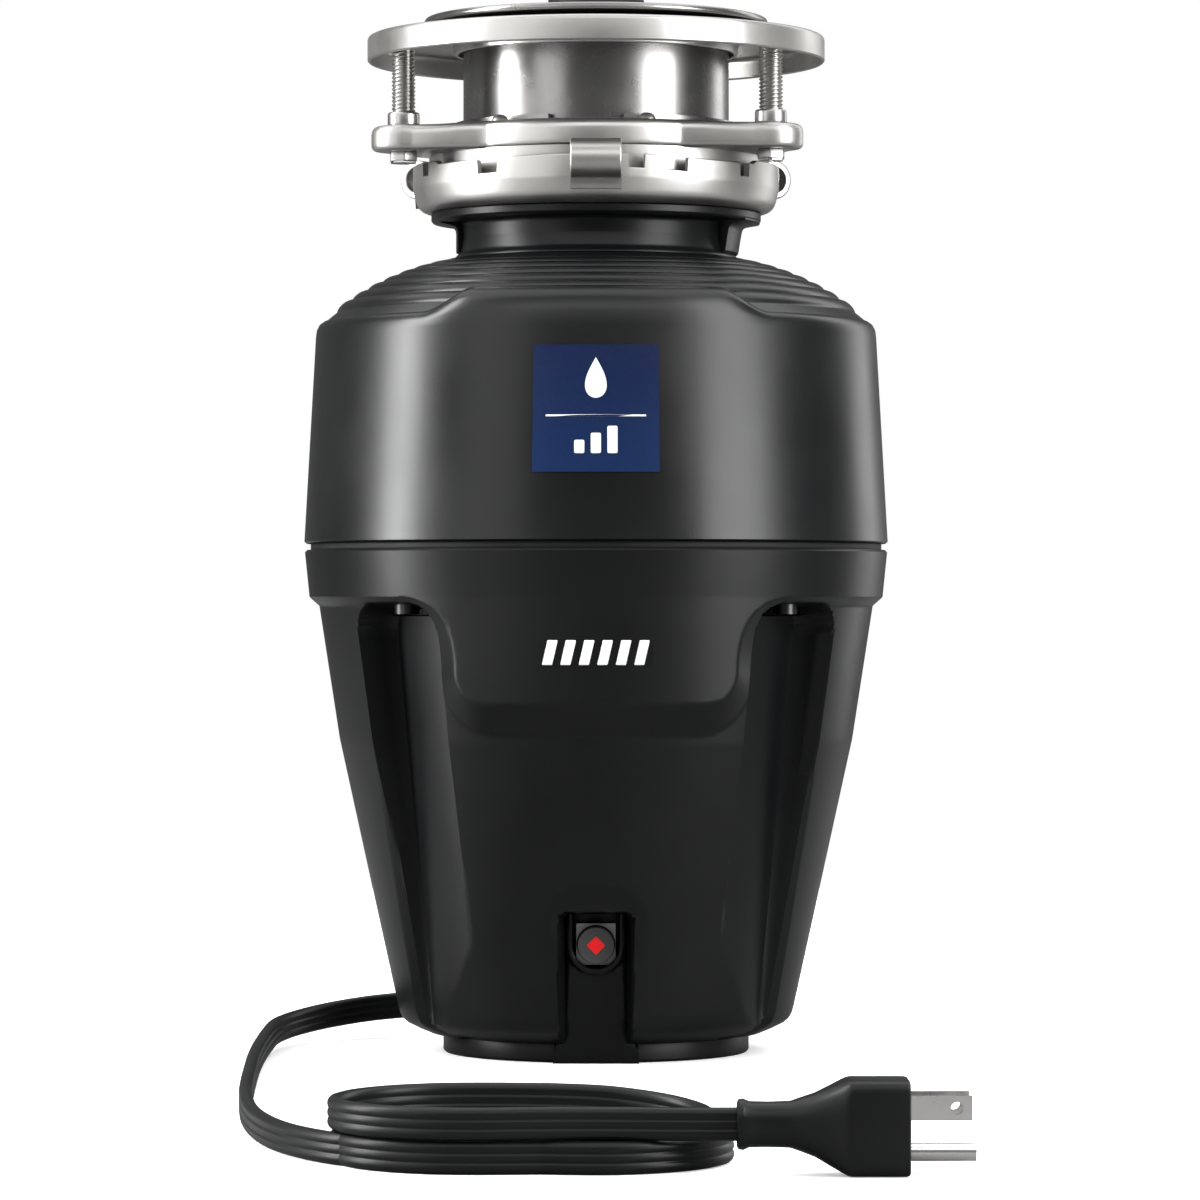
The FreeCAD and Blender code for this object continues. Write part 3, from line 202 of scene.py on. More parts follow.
def badge_material():
    """Printed film: deep blue at the top, lighter and greener towards the foot."""
    n = Nodes("blue_badge")
    split = n.tree.nodes.new("ShaderNodeSeparateXYZ")
    n.link(n.place, split.inputs["Vector"])
    low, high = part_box("badge")
    rise = n.between(split.outputs["Z"], 0.0, 1.0, low.z, high.z)
    blue = n.mix(rise, (0.005, 0.017, 0.062), (0.005, 0.010, 0.040))
    speck = n.between(n.noise(900, 2), 0.0, 0.12)
    n.link(n.mix(speck, blue, (0.02, 0.035, 0.09)), n.shader.inputs["Base Color"])
    n.shader.inputs["Specular IOR Level"].default_value = 0.15
    n.link(n.between(n.noise(30), 0.26, 0.34), n.shader.inputs["Roughness"])
    n.link(n.bump(n.noise(700, 2), 0.2, 0.00002), n.shader.inputs["Normal"])
    return n.material


MATERIALS["blue_badge"] = badge_material()
MATERIALS["light_mark"] = moulded_plastic("light_mark", (0.62, 0.62, 0.62), 0.35)
MATERIALS["red_mark"] = moulded_plastic("red_mark", (0.70, 0.012, 0.014), 0.35, gloss=0.2)

for entry in frame["record"]["subparts"]:
    node = frame["nodes"][entry["node"]]
    node.data.materials.clear()
    node.data.materials.append(MATERIALS[entry["material_slot"]])

# the through screws' heads get a near-black steel, darker than other zinc plate
frame["nodes"]["through_screws"].data.materials[0] = MATERIALS["dark_screw_steel"]


# ---- mesh helpers ---------------------------------------------------------------------------


def piece(name, points, faces, slot, body="housing", stands_for=(), crease=38, material=None):
    """A mesh from points in millimetres, smooth except over sharp edges, riding on a body."""
    mesh = bpy.data.meshes.new(name)
    mesh.from_pydata([tuple(float(c) * MM for c in p) for p in points], [], faces)
    work = bmesh.new()
    work.from_mesh(mesh)
    bmesh.ops.remove_doubles(work, verts=work.verts, dist=1e-7)
    bmesh.ops.recalc_face_normals(work, faces=work.faces)
    work.to_mesh(mesh)
    work.free()
    mesh.shade_smooth()
    mesh.set_sharp_from_angle(angle=math.radians(crease))
    made = bpy.data.objects.new(name, mesh)
    bpy.context.scene.collection.objects.link(made)
    mesh.materials.append(MATERIALS[material or slot])
    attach(made, body)
    if stands_for:
        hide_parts(*stands_for)
    return made


def rounded(corners, radii, steps=4):
    """A closed outline with each corner turned into an arc; a radius of 0 keeps the corner."""
    corners = [Vector(c) for c in corners]
    if not isinstance(radii, (list, tuple)):
        radii = [radii] * len(corners)
    out = []
    for i, (corner, radius) in enumerate(zip(corners, radii)):
        back = corners[i - 1] - corner
        ahead = corners[(i + 1) % len(corners)] - corner
        angle = back.angle(ahead)
        if radius <= 0 or math.pi - angle < 0.02:
            out.append(tuple(corner))
            continue
        reach = min(radius / math.tan(angle / 2), 0.48 * back.length, 0.48 * ahead.length)
        start = corner + back.normalized() * reach
        end = corner + ahead.normalized() * reach
        for k in range(steps + 1):
            t = k / steps
            out.append(tuple(start * (1 - t) ** 2 + corner * 2 * t * (1 - t) + end * t * t))
    return out


def around(a, r, z):
    """Points at angles round the rotor axis, radii and heights."""
    a = np.radians(a)
    return np.stack([r * np.sin(a), -r * np.cos(a), z], 1)


def spot_on_circle(angle, radius):
    """One point on the floor plane, at an angle and a radius."""
    return around(np.array([angle]), np.array([radius]), np.array([0.0]))[0]


def ring_faces(rings, count, closed=True):
    """Quads between rings of points, the last joined to the first where it is closed."""
    faces = []
    for i in range(rings if closed else rings - 1):
        j = (i + 1) % rings
        for k in range(count):
            m = (k + 1) % count
            faces.append((i * count + k, i * count + m, j * count + m, j * count + k))
    return faces


def end_caps(count, total):
    """One face over the first ring of points and one over the last."""
    return [tuple(range(count))[::-1], tuple(range(total - count, total))]


def lathe(profile, segments=192):
    """Points and faces of a closed profile of radius and height turned about the axis."""
    profile = np.array(profile, float)
    a = np.repeat(np.linspace(0, 360, segments, endpoint=False), len(profile))
    r = np.tile(profile[:, 0], segments)
    z = np.tile(profile[:, 1], segments)
    return around(a, r, z), ring_faces(segments, len(profile))


def lathed(name, profile, slot, segments=192, **more):
    return piece(name, *lathe(profile, segments), slot, **more)


def merged(parts):
    """Several sets of points and faces as one."""
    points, faces = [], []
    for p, f in parts:
        shift = len(points)
        points += [tuple(q) for q in p]
        faces += [tuple(i + shift for i in face) for face in f]
    return points, faces


def placed(part, matrix):
    points, faces = part
    return [tuple(matrix @ Vector(p)) for p in points], faces


def turned(part, angle):
    """The part swung round the rotor axis, from the front towards +X."""
    return placed(part, Matrix.Rotation(math.radians(angle), 4, "Z"))


def spun(profile, segments=32):
    """A closed profile of radius and height turned about its own upright axis."""
    points = []
    for k in range(segments):
        a = 2 * math.pi * k / segments
        points += [(r * math.cos(a), r * math.sin(a), z) for r, z in profile]
    return points, ring_faces(segments, len(profile))


def slab(outline, low, high, bevel=0.6, steps=2):
    """A flat outline raised from low to high, its rims rounded by shrinking copies of it."""
    outline = [Vector(p) for p in outline]
    middle = sum(outline, Vector((0, 0))) / len(outline)
    levels = []
    for k in range(steps + 1):
        t = math.pi / 2 * k / steps
        levels.append((low + bevel * (1 - math.sin(t)), bevel * (1 - math.cos(t))))
    levels.sort()
    levels += [(low + high - z, inset) for z, inset in reversed(levels)]
    points = []
    for z, inset in levels:
        for p in outline:
            away = p - middle
            points.append((*(p - away.normalized() * min(inset, away.length * 0.5)), z))
    faces = ring_faces(len(levels), len(outline), closed=False)
    return points, faces + end_caps(len(outline), len(points))


def ramp(value, low, high):
    """0 below low and 1 above high, with a soft start and end."""
    t = np.clip((value - low) / (high - low), 0, 1)
    return t * t * (3 - 2 * t)


def rounded_box_distance(x, y, half_x, half_y, corner):
    """How far points are outside a box with rounded corners, in the plane; negative inside."""
    qx = np.abs(x) - half_x + corner
    qy = np.abs(y) - half_y + corner
    outside = np.hypot(np.maximum(qx, 0), np.maximum(qy, 0))
    return outside + np.minimum(np.maximum(qx, qy), 0) - corner


def from_angle(a, middle):
    """The angle from a direction, between -180 and 180."""
    return (a - middle + 180) % 360 - 180


# ---- lower shell ----------------------------------------------------------------------------

SHELL_FOOT = 6.5
SHELL_WALL = 2.6
SEAM = 165.5
SEAM_BORE = 91.0
BEND = 102.5
BAND_FOOT = 150.0
# height, outer radius of the plain shell between its features
SHELL_LINE = np.array([
    (6.5, 54.6), (6.9, 55.6), (8.2, 58.8), (10.0, 62.4), (11.4, 64.0), (13.2, 64.9), (15.5, 65.5),
    (BEND - 0.8, 84.35), (BEND + 0.8, 84.7), (BAND_FOOT, 91.9), (SEAM, 94.3),
])
BAND_LINE = np.array([(100.0, 91.6), (118.0, 92.6), (BAND_FOOT, 94.7), (164.7, 96.2), (SEAM, 95.5)])
# the front and back shields: half their width along the surface, and their lower edge's height
SHIELD_HALF = 46.5
SHIELD_EDGE = 116.0
SHIELD_TOP = 260
SHIELD_CORNER = 10.0
SHIELD_BLEND = 22.0
SHIELD_RADIUS = 93.0
FLUTE_ANGLES = (46, 134, 226, 314)
FLUTES_TURNED_RIGHT = (46, 226)
FLUTE_HALF_ANGLE = 12.0
FLUTE_RADIUS = 86.0
FLUTE_CORNER = 10.0
FLUTE_TOP = 148.0
FLUTE_FOOT = 7.0
FLUTE_LEDGE = 144.0
FLUTE_FLOOR = 64.0
FLUTE_SLOPE = 0.109
FLUTE_TILT = 2.4
SCREW_POCKET = 6.5
PILLAR_FACET = 9.0
SLOT_TOP = 49.5
SLOT_DEPTH = 8.5
SLOT_RADIUS = 70.0
HOOD_DEPTH = 2.6


def tongue_face(z):
    """How far in front of the axis the base cap's tongue stands, at each height."""
    return np.interp(z, [0, 6, 20, 46, 60], [52, 53, 56.3, 61.9, 65.2])


def shell_radius(a, z):
    """The lower shell's outer radius at an angle and a height."""
    plain = np.interp(z, SHELL_LINE[:, 0], SHELL_LINE[:, 1])
    band = np.interp(z, BAND_LINE[:, 0], BAND_LINE[:, 1])

    front = np.minimum(np.abs(from_angle(a, 0)), np.abs(from_angle(a, 180)))
    along = np.radians(front) * SHIELD_RADIUS
    middle = (SHIELD_EDGE + SHIELD_TOP) / 2
    shield = rounded_box_distance(along, z - middle, SHIELD_HALF, middle - SHIELD_EDGE, SHIELD_CORNER)
    below = BAND_FOOT - z
    near = np.maximum(SHIELD_BLEND - np.abs(shield - below), 0) / SHIELD_BLEND
    outside = np.minimum(shield, below) - near * near * SHIELD_BLEND / 4
    width = np.interp(z, [118, 146], [10.0, 2.9])
    radius = band + (plain - band) * np.clip(outside / width, 0, 1)

    # each flute is deeper beside the side pillar than beside the shield
    for centre in FLUTE_ANGLES:
        off = from_angle(a, centre)
        towards_side = off * (1 if centre in FLUTES_TURNED_RIGHT else -1)
        across = np.radians(off) * FLUTE_RADIUS
        half = np.radians(FLUTE_HALF_ANGLE) * FLUTE_RADIUS
        mid_z = (FLUTE_TOP + FLUTE_FOOT) / 2
        inside = -rounded_box_distance(across, z - mid_z, half, FLUTE_TOP - mid_z, FLUTE_CORNER)
        floor = FLUTE_FLOOR + FLUTE_SLOPE * z - FLUTE_TILT * towards_side / FLUTE_HALF_ANGLE
        floor = np.minimum(floor, radius)
        pocket = ramp(inside, 1.2, 2.0) * ramp(z, FLUTE_LEDGE, FLUTE_LEDGE + 0.6) * SCREW_POCKET
        wall = np.where(towards_side > 0, 3.4, 1.7)
        cut = np.clip(inside / wall, 0, 1)
        radius = radius + (floor - pocket - radius) * cut * (2 - cut)
        # the side pillar's edge has a facet that widens towards the foot
        facet = np.clip((BEND - z) / BEND, 0, 1) * PILLAR_FACET
        edge = np.where((towards_side > 0) & (inside <= 0), facet + inside, 0)
        radius = radius - np.maximum(edge, 0) * 0.42

    # the slot for the base cap's tongue, with a soft hood over it
    off = np.radians(from_angle(a, 0)) * SLOT_RADIUS
    hood = rounded_box_distance(off, z - 30, 11.5, 24, 9.0)
    radius = radius - HOOD_DEPTH * (1 - ramp(hood, -2.0, 5.0)) * ramp(z, 30, 50)
    half = np.interp(z, [0, 50], [13.4, 11.9])
    slot = rounded_box_distance(off, z - SLOT_TOP / 2 + 6, half, SLOT_TOP / 2 + 6, 3.0)
    recess = np.clip(-slot / 1.2, 0, 1)
    return radius + (np.minimum(tongue_face(z) - SLOT_DEPTH, radius) - radius) * recess


def shell_columns():
    """Angles round the shell, closer together where its radius changes fast."""
    columns = set(np.round(np.arange(0, 360, 1.6), 2))
    for centre in FLUTE_ANGLES:
        columns |= set(np.round(centre + np.arange(-20, 16.01, 0.55), 2) % 360)
        columns |= set(np.round(centre + np.arange(-16, 20.01, 0.55), 2) % 360)
    columns |= set(np.round(np.arange(-15, 15.01, 0.4), 2) % 360)
    columns = sorted(columns)
    return np.array([c for c, before in zip(columns, [-1] + columns) if c - before > 0.25])


def make_lower_shell():
    columns = shell_columns()
    rows = np.concatenate([
        SHELL_LINE[:7, 0], np.arange(17.5, 44, 2.2), np.arange(44.5, 60, 0.9), np.arange(61, 98, 2.4),
        np.arange(98.5, 139, 0.9), np.arange(139.3, 151, 0.45), np.arange(151.5, 164, 2.5),
        [164.7, 165.1, SEAM],
    ])
    a, z = np.meshgrid(columns, rows, indexing="ij")
    outer = shell_radius(a, z)
    wall_rows = np.array([SEAM, 160, 150, 140, 100, 62, 56, 48, 30, 12, SHELL_FOOT])
    inner_a, inner_z = np.meshgrid(columns, wall_rows, indexing="ij")
    line = shell_radius(inner_a, np.clip(inner_z, 8, 140))
    inner = np.minimum(line, shell_radius(inner_a, inner_z)) - SHELL_WALL
    inner = np.where(inner_z > BAND_FOOT, SEAM_BORE, inner)
    behind_slot = (np.abs(from_angle(inner_a, 0)) < 13) & (inner_z < 60)
    inner = np.where(behind_slot, np.minimum(inner, tongue_face(inner_z) - SLOT_DEPTH - 2), inner)
    r = np.concatenate([outer, inner], 1)
    z = np.concatenate([z, inner_z], 1)
    a = np.repeat(columns, r.shape[1])
    points = around(a, r.ravel(), z.ravel())
    piece("lower_shell_skin", points, ring_faces(len(columns), r.shape[1]), "matte_black_plastic",
          stands_for=("lower_shell",), crease=32)


make_lower_shell()


# ---- seam gasket, upper shell and dome ------------------------------------------------------

SEAM_TOP = 167.5
DOME_EDGE = (89.4, 240.6)
DOME_NECK = (43.7, 260.5)
DOME_CURVE = 82.9


def make_seam_gasket():
    """A strip set back in the gap between the shells."""
    strip = rounded([(92.7, SEAM), (94.3, SEAM), (94.3, SEAM_TOP), (92.7, SEAM_TOP)], 0.3, 2)
    lathed("seam_gasket_skin", strip, "black_rubber", stands_for=("seam_gasket",), crease=50)


def dome_height(radius):
    """The dome's height over a radius: an arc from its edge to the neck."""
    edge, neck = Vector(DOME_EDGE), Vector(DOME_NECK)
    chord = neck - edge
    drop = math.sqrt(DOME_CURVE**2 - (chord.length / 2) ** 2)
    normal = Vector((chord.y, -chord.x)).normalized()
    if normal.y > 0:
        normal = -normal
    centre = (edge + neck) / 2 + normal * drop
    return centre.y + np.sqrt(DOME_CURVE**2 - (np.asarray(radius) - centre.x) ** 2)


def make_upper_shell():
    """The shell's section at its sides, and under the raised shields, with an S-curve between."""
    side = [(95.6, SEAM_TOP), (96.4, 168.2), (94.6, 200), (92.6, 235.6), (92.3, 237.8), (91.4, 239.6),
            (90.0, 240.6), (88.2, 240.9), (85.2, 240.9), (84.4, 240.4), (84.2, 238), (89.4, 232),
            (93.4, 169), (93.4, SEAM_TOP)]
    shield = [(95.6, SEAM_TOP), (96.4, 168.2), (94.6, 200), (92.6, 235.6), (92.2, 240.2), (91.2, 244.2),
              (89.4, 246.8), (86.8, 248.2), (83.6, 248.4), (82.2, 247.8), (81.6, 244), (87.4, 232),
              (93.4, 169), (93.4, SEAM_TOP)]
    side, shield = np.array(side), np.array(shield)
    angles = np.unique(np.concatenate([np.arange(0, 360, 2.0), *[
        (centre + np.arange(-42, -20, 0.8)) % 360 for centre in (0, 180)], *[
        (centre + np.arange(20, 42, 0.8)) % 360 for centre in (0, 180)]]))
    front = np.minimum(np.abs(from_angle(angles, 0)), np.abs(from_angle(angles, 180)))
    share = 1 - ramp(front, 26, 38)
    line = side[None] + (shield - side)[None] * share[:, None, None]
    a = np.repeat(angles, len(side))
    points = around(a, line[:, :, 0].ravel(), line[:, :, 1].ravel())
    piece("upper_shell_skin", points, ring_faces(len(angles), len(side)), "satin_black_plastic",
          stands_for=("upper_shell",), crease=50)


def make_dome():
    radii = np.linspace(DOME_EDGE[0], DOME_NECK[0] + 0.3, 210)
    z = dome_height(radii)
    rib_half = 2.15
    rib_height = 1.5
    for crest in np.linspace(83.5, 49.5, 8):
        lift = np.clip(1 - ((radii - crest) / rib_half) ** 2, 0, 1)
        z = z + rib_height * np.sqrt(lift)
    outline = list(zip(radii, z))
    outline += [(42.8, 261.6), (42.6, 258), (60, 252.5), (80, 243), (88.8, 237.8), (89.4, 238.2)]
    lathed("dome_skin", outline, "satin_black_plastic", 224, stands_for=("dome_cover",), crease=40)


make_seam_gasket()
make_upper_shell()
make_dome()


# ---- neck collar ----------------------------------------------------------------------------

TAB_ANGLES = (86, 206, -154)
LIP_ANGLE = -88

def curved_block(low_angle, high_angle, section, steps=14):
    """A closed section of radius and height swept round part of the axis, with flat ends."""
    points = []
    for angle in np.linspace(low_angle, high_angle, steps):
        r = np.array([p[0] for p in section])
        z = np.array([p[1] for p in section])
        points += list(around(np.full(len(r), angle), r, z))
    faces = ring_faces(steps, len(section), closed=False)
    return points, faces + end_caps(len(section), len(points))


def make_neck_collar():
    hub = rounded([(41.6, 261.3), (47.4, 261.3), (45.2, 263.6), (44.4, 268), (44.5, 273.3),
                   (53.9, 273.5), (54.5, 274.2), (54.5, 276.5), (41.6, 276.5)],
                  [0, 0.8, 2.5, 2, 1.8, 0.3, 0.3, 0.4, 0], 4)
    tab = rounded([(44.6, 262.5), (47.0, 263.1), (47.8, 268), (48.6, 272.2), (54.2, 273.2),
                   (54.2, 274.2), (44.6, 274.2)], [0.5, 0.8, 2, 2.4, 0.3, 0, 0], 3)
    lip = rounded([(44.6, 263.5), (46.3, 263.5), (46.3, 272), (52.5, 273.3), (52.5, 274.3),
                   (44.6, 274.3)], [0.4, 0.6, 2.4, 0.3, 0, 0], 3)
    parts = [lathe(hub, 160)]
    for middle in TAB_ANGLES:
        parts.append(curved_block(middle - 22, middle + 10, tab))
    parts.append(curved_block(LIP_ANGLE - 3, LIP_ANGLE + 9, lip))
    piece("neck_collar_skin", *merged(parts), "matte_black_plastic", stands_for=("neck_collar",),
          crease=40)


make_neck_collar()


# ---- sink mount -----------------------------------------------------------------------------


def stepped(angles, spans, edge=0.35):
    """1 inside any of the angle spans and 0 outside, with steep sides."""
    out = np.zeros_like(angles, dtype=float)
    for middle, half in spans:
        off = np.abs(from_angle(angles, middle))
        out = np.maximum(out, 1 - np.clip((off - half) / edge, 0, 1))
    return out


def mesh_angles(spans, spacing=2.0):
    """Even angles, with close pairs at each span's two sides."""
    angles = set(np.round(np.arange(0, 360, spacing), 3))
    for middle, half in spans:
        for edge in (middle - half - 0.35, middle - half, middle + half, middle + half + 0.35):
            angles.add(round(edge % 360, 3))
    return np.array(sorted(angles))


def swept(profile, angles, reach):
    """A closed profile swept round the axis at the given angles, changed by reach."""
    profile = np.array(profile, float)
    a = np.repeat(angles, len(profile))
    r = np.tile(profile[:, 0], len(angles))
    z = np.tile(profile[:, 1], len(angles))
    r, z = reach(a, r, z)
    return around(a, r, z), ring_faces(len(angles), len(profile))


def tube_across(outer, inner, length, centre, steps=40):
    """A short tube lying along X, its rims rounded."""
    section = rounded([(inner, -length / 2), (outer, -length / 2), (outer, length / 2),
                       (inner, length / 2)], [0.4, 0.7, 0.7, 0.4], 3)
    points, faces = spun(section, steps)
    return placed((points, faces), Matrix.Translation(centre) @ Matrix.Rotation(math.radians(90), 4, "Y"))


LUG_ANGLES = (0, 120, 240)


def make_lower_ring():
    notches = [(middle + lug, half) for lug in LUG_ANGLES for middle, half in
               ((-35.5, 3.6), (25.0, 4.2), (-67.0, 2.2), (12.5, 2.4))]
    profile = rounded([(46, 276.8), (58.6, 276.8), (60.5, 284.5), (60.5, 292), (58.4, 292),
                       (58.2, 284), (56, 279.6), (46, 279.2)], [0.8, 6.5, 4, 0.5, 0.4, 3, 4, 0.8], 5)

    def reach(a, r, z):
        cut = stepped(a, notches) * np.where(z > 288, 1, 0)
        clear = stepped(a, [(104, 6.5), (-104, 6.5)], 3.0) * np.where(z > 282, 1, 0)
        z = np.where(clear > 0, z - clear * (z - 282) * 0.85, z)
        rise = 1.1 * ramp(np.abs(from_angle(a, 0)), 10, 40) * (np.abs(from_angle(a, 0)) < 60)
        return r, z - cut * 4.4 + np.where(z > 288, -rise, 0)

    parts = [swept(profile, mesh_angles(notches), reach)]
    for angle in LUG_ANGLES:
        parts.append(turned(tube_across(6.5, 4.25, 16.5, (0, -64.6, 290.0)), angle))
        web = slab([(-8.25, -62.6), (8.25, -62.6), (8.25, -58.8), (-8.25, -58.8)], 280.5, 291.5, 0.5)
        parts.append(turned(web, angle))
    piece("lower_ring_skin", *merged(parts), "cast_alloy", "mount_ring",
          stands_for=("lower_mounting_ring",), crease=40)


EAR_ANGLES = (-65, 55, 175)
EAR_CIRCLE = 69.1
EAR_RADIUS = 10.5
RING_SKIRT = 55.2


def ear_reach(a):
    """The upper ring's outline in plan: its skirt with three ears on tapering arms."""
    radius = np.full_like(a, RING_SKIRT + 0.8)
    arm = 26.0
    touch = math.degrees(math.asin(EAR_RADIUS / EAR_CIRCLE)) * 0.93
    inside = EAR_RADIUS**2 - (EAR_CIRCLE * math.sin(math.radians(touch))) ** 2
    touch_radius = EAR_CIRCLE * math.cos(math.radians(touch)) + math.sqrt(inside)
    for centre in EAR_ANGLES:
        off = np.abs(from_angle(a, centre))
        rad = np.radians(np.minimum(off, touch))
        boss = EAR_CIRCLE * np.cos(rad) + np.sqrt(
            np.maximum(EAR_RADIUS**2 - (EAR_CIRCLE * np.sin(rad)) ** 2, 0))
        share = np.clip((arm - off) / (arm - touch), 0, 1)
        flank = RING_SKIRT + 0.8 + (touch_radius - RING_SKIRT - 0.8) * share**1.35
        radius = np.maximum(radius, np.where(off < touch, boss, flank))
    return radius


def make_upper_ring():
    def ears(a, r, z):
        out = ear_reach(a)
        lift = ramp(out, RING_SKIRT + 1, EAR_CIRCLE) * 0.9
        return np.where(r > 51, out - (60 - r), r), z + np.where(z > 299, -lift, 0)

    plate = rounded([(49.6, 294.9), (60, 294.9), (60, 304), (49.6, 304)], [0.3, 2.2, 3.2, 1.2], 5)
    parts = [swept(plate, np.arange(0, 360, 0.8), ears)]
    steps = [(-20, 12.5), (28, 9.5), (-75, 9), (100, 10), (-135, 12), (150, 9), (60, 4)]
    skirt = rounded([(51.8, 284.6), (RING_SKIRT, 284.6), (RING_SKIRT, 300), (51.8, 300)],
                    [0.2, 0.5, 0, 0], 3)

    def lower_edge(a, r, z):
        return r, z + stepped(a, steps) * np.where(z < 292, 2.6, 0)

    parts.append(swept(skirt, mesh_angles(steps), lower_edge))
    nub = [(0, -1.2), (2.2, -1.2), (2.7, 0.2), (2.2, 1.3), (1.2, 1.9), (0, 2.1)]
    for x in (-31, 16.5):
        y = -math.sqrt(51.2**2 - x * x)
        parts.append(placed(spun(nub, 24), Matrix.Translation((x, y, 304.0))))
    piece("upper_ring_skin", *merged(parts), "cast_alloy", stands_for=("upper_mounting_ring",),
          crease=40)


def make_jack_screws():
    """Threaded shanks with slotted hexagon heads under the upper ring, and the ring's collar nuts."""
    pitch = 1.27
    foot = 294.6
    top = 333.1
    rows = np.arange(foot, top, pitch / 4)
    columns = np.arange(0, 360, 15.0)
    a, z = np.meshgrid(columns, rows, indexing="ij")
    turn = (z / pitch - a / 360) % 1
    r = 3.25 + 0.75 * (1 - np.abs(turn * 2 - 1))
    r = np.where(z > 332.2, r * 0.9, r)
    on_axis = np.zeros((len(columns), 1))
    r = np.concatenate([on_axis, r, on_axis], 1)
    z = np.concatenate([on_axis + foot, z, on_axis + top], 1)
    shank = (around(np.repeat(columns, r.shape[1]), r.ravel(), z.ravel()),
             ring_faces(len(columns), r.shape[1]))
    corner = 4.9
    corners = [math.radians(k) for k in range(0, 360, 60)]
    hexagon = [(corner * math.cos(t), corner * math.sin(t)) for t in corners]
    head = slab(rounded(hexagon, 0.5, 2), 291.6, 294.9, 0.4)
    slot = 0.7
    tip_a = slab([(-4.3, slot), (4.3, slot), (2.6, 3.7), (-2.6, 3.7)], 291.0, 291.9, 0.2)
    tip_b = slab([(-4.3, -slot), (-2.6, -3.7), (2.6, -3.7), (4.3, -slot)], 291.0, 291.9, 0.2)
    parts = []
    for k, angle in enumerate(EAR_ANGLES):
        turn = Matrix.Rotation(math.radians(35 + 50 * k), 4, "Z")
        move = Matrix.Translation(spot_on_circle(angle, EAR_CIRCLE)) @ turn
        parts += [placed(p, move) for p in (shank, head, tip_a, tip_b)]
    piece("jack_screw_skin", *merged(parts), "zinc_plate", stands_for=("jack_screws",), crease=50)
    nut = rounded([(3.9, 303.2), (4.9, 303.2), (5.2, 303.6), (5.2, 307), (4.8, 307.6), (3.9, 307.6)],
                  [0, 0.2, 0.3, 0.3, 0.3, 0.3], 2)
    parts = []
    for angle in EAR_ANGLES:
        parts.append(placed(spun(nut, 48), Matrix.Translation(spot_on_circle(angle, EAR_CIRCLE))))
    piece("collar_nut_skin", *merged(parts), "zinc_plate", stands_for=("collar_nuts",), crease=40)


def make_sink_flange():
    sleeve = rounded([(42.4, 301), (43.9, 301), (43.9, 336.6), (46, 338.3), (56.2, 338.5), (57, 339.4),
                      (56.4, 340.8), (54, 341), (44.6, 339.8), (42.4, 336.5)],
                     [0.3, 0.5, 2.5, 2, 0.8, 0.8, 0.8, 1, 4, 4], 5)
    lathed("sink_flange_skin", sleeve, "polished_steel", 200, stands_for=("sink_flange",), crease=40)
    dish = rounded([(44.1, 335), (75.6, 335), (75.6, 327.2), (75.1, 326.7), (74.5, 326.7),
                    (74.1, 327.2), (74.0, 333.5), (48.3, 333.5), (47.3, 332.4), (46.7, 329.0),
                    (45.5, 329.0), (45.4, 332.4), (44.1, 333.4)],
                   [0, 1.6, 0.3, 0.3, 0.3, 0.3, 1.8, 1.6, 1.2, 0.5, 0.4, 1, 0.4], 5)
    lathed("backup_flange_skin", dish, "cast_alloy", 220, stands_for=("backup_flange",), crease=40)


def make_fibre_gasket():
    washer = rounded([(44.1, 335.05), (56.5, 335.05), (56.5, 337.0), (44.1, 337.0)], 0.5, 3)
    lathed("fibre_gasket_skin", washer, "fibre", 128, stands_for=("fibre_gasket",), crease=40)


def make_stopper():
    cup = rounded([(0, 331.05), (39.4, 331.05), (40.4, 332.2), (40.4, 336.8), (41.3, 338.4), (40.6, 339.6),
                   (33, 340.6), (22, 342.6), (16.2, 345), (15.6, 348.6), (13.6, 350.6), (9, 351),
                   (0, 349.6)],
                  [0, 0.6, 0.6, 1.2, 0.5, 0.6, 6, 6, 1.5, 1.2, 1.2, 2, 0], 4)
    lathed("stopper_skin", cup, "black_rubber", 128, body="stopper", stands_for=("stopper",), crease=40)


make_lower_ring()
make_upper_ring()
make_jack_screws()
make_sink_flange()
make_fibre_gasket()
make_stopper()


# ---- base cap and reset button --------------------------------------------------------------

BUTTON_Z = 38.5
BUTTON_HOLE = 7.5


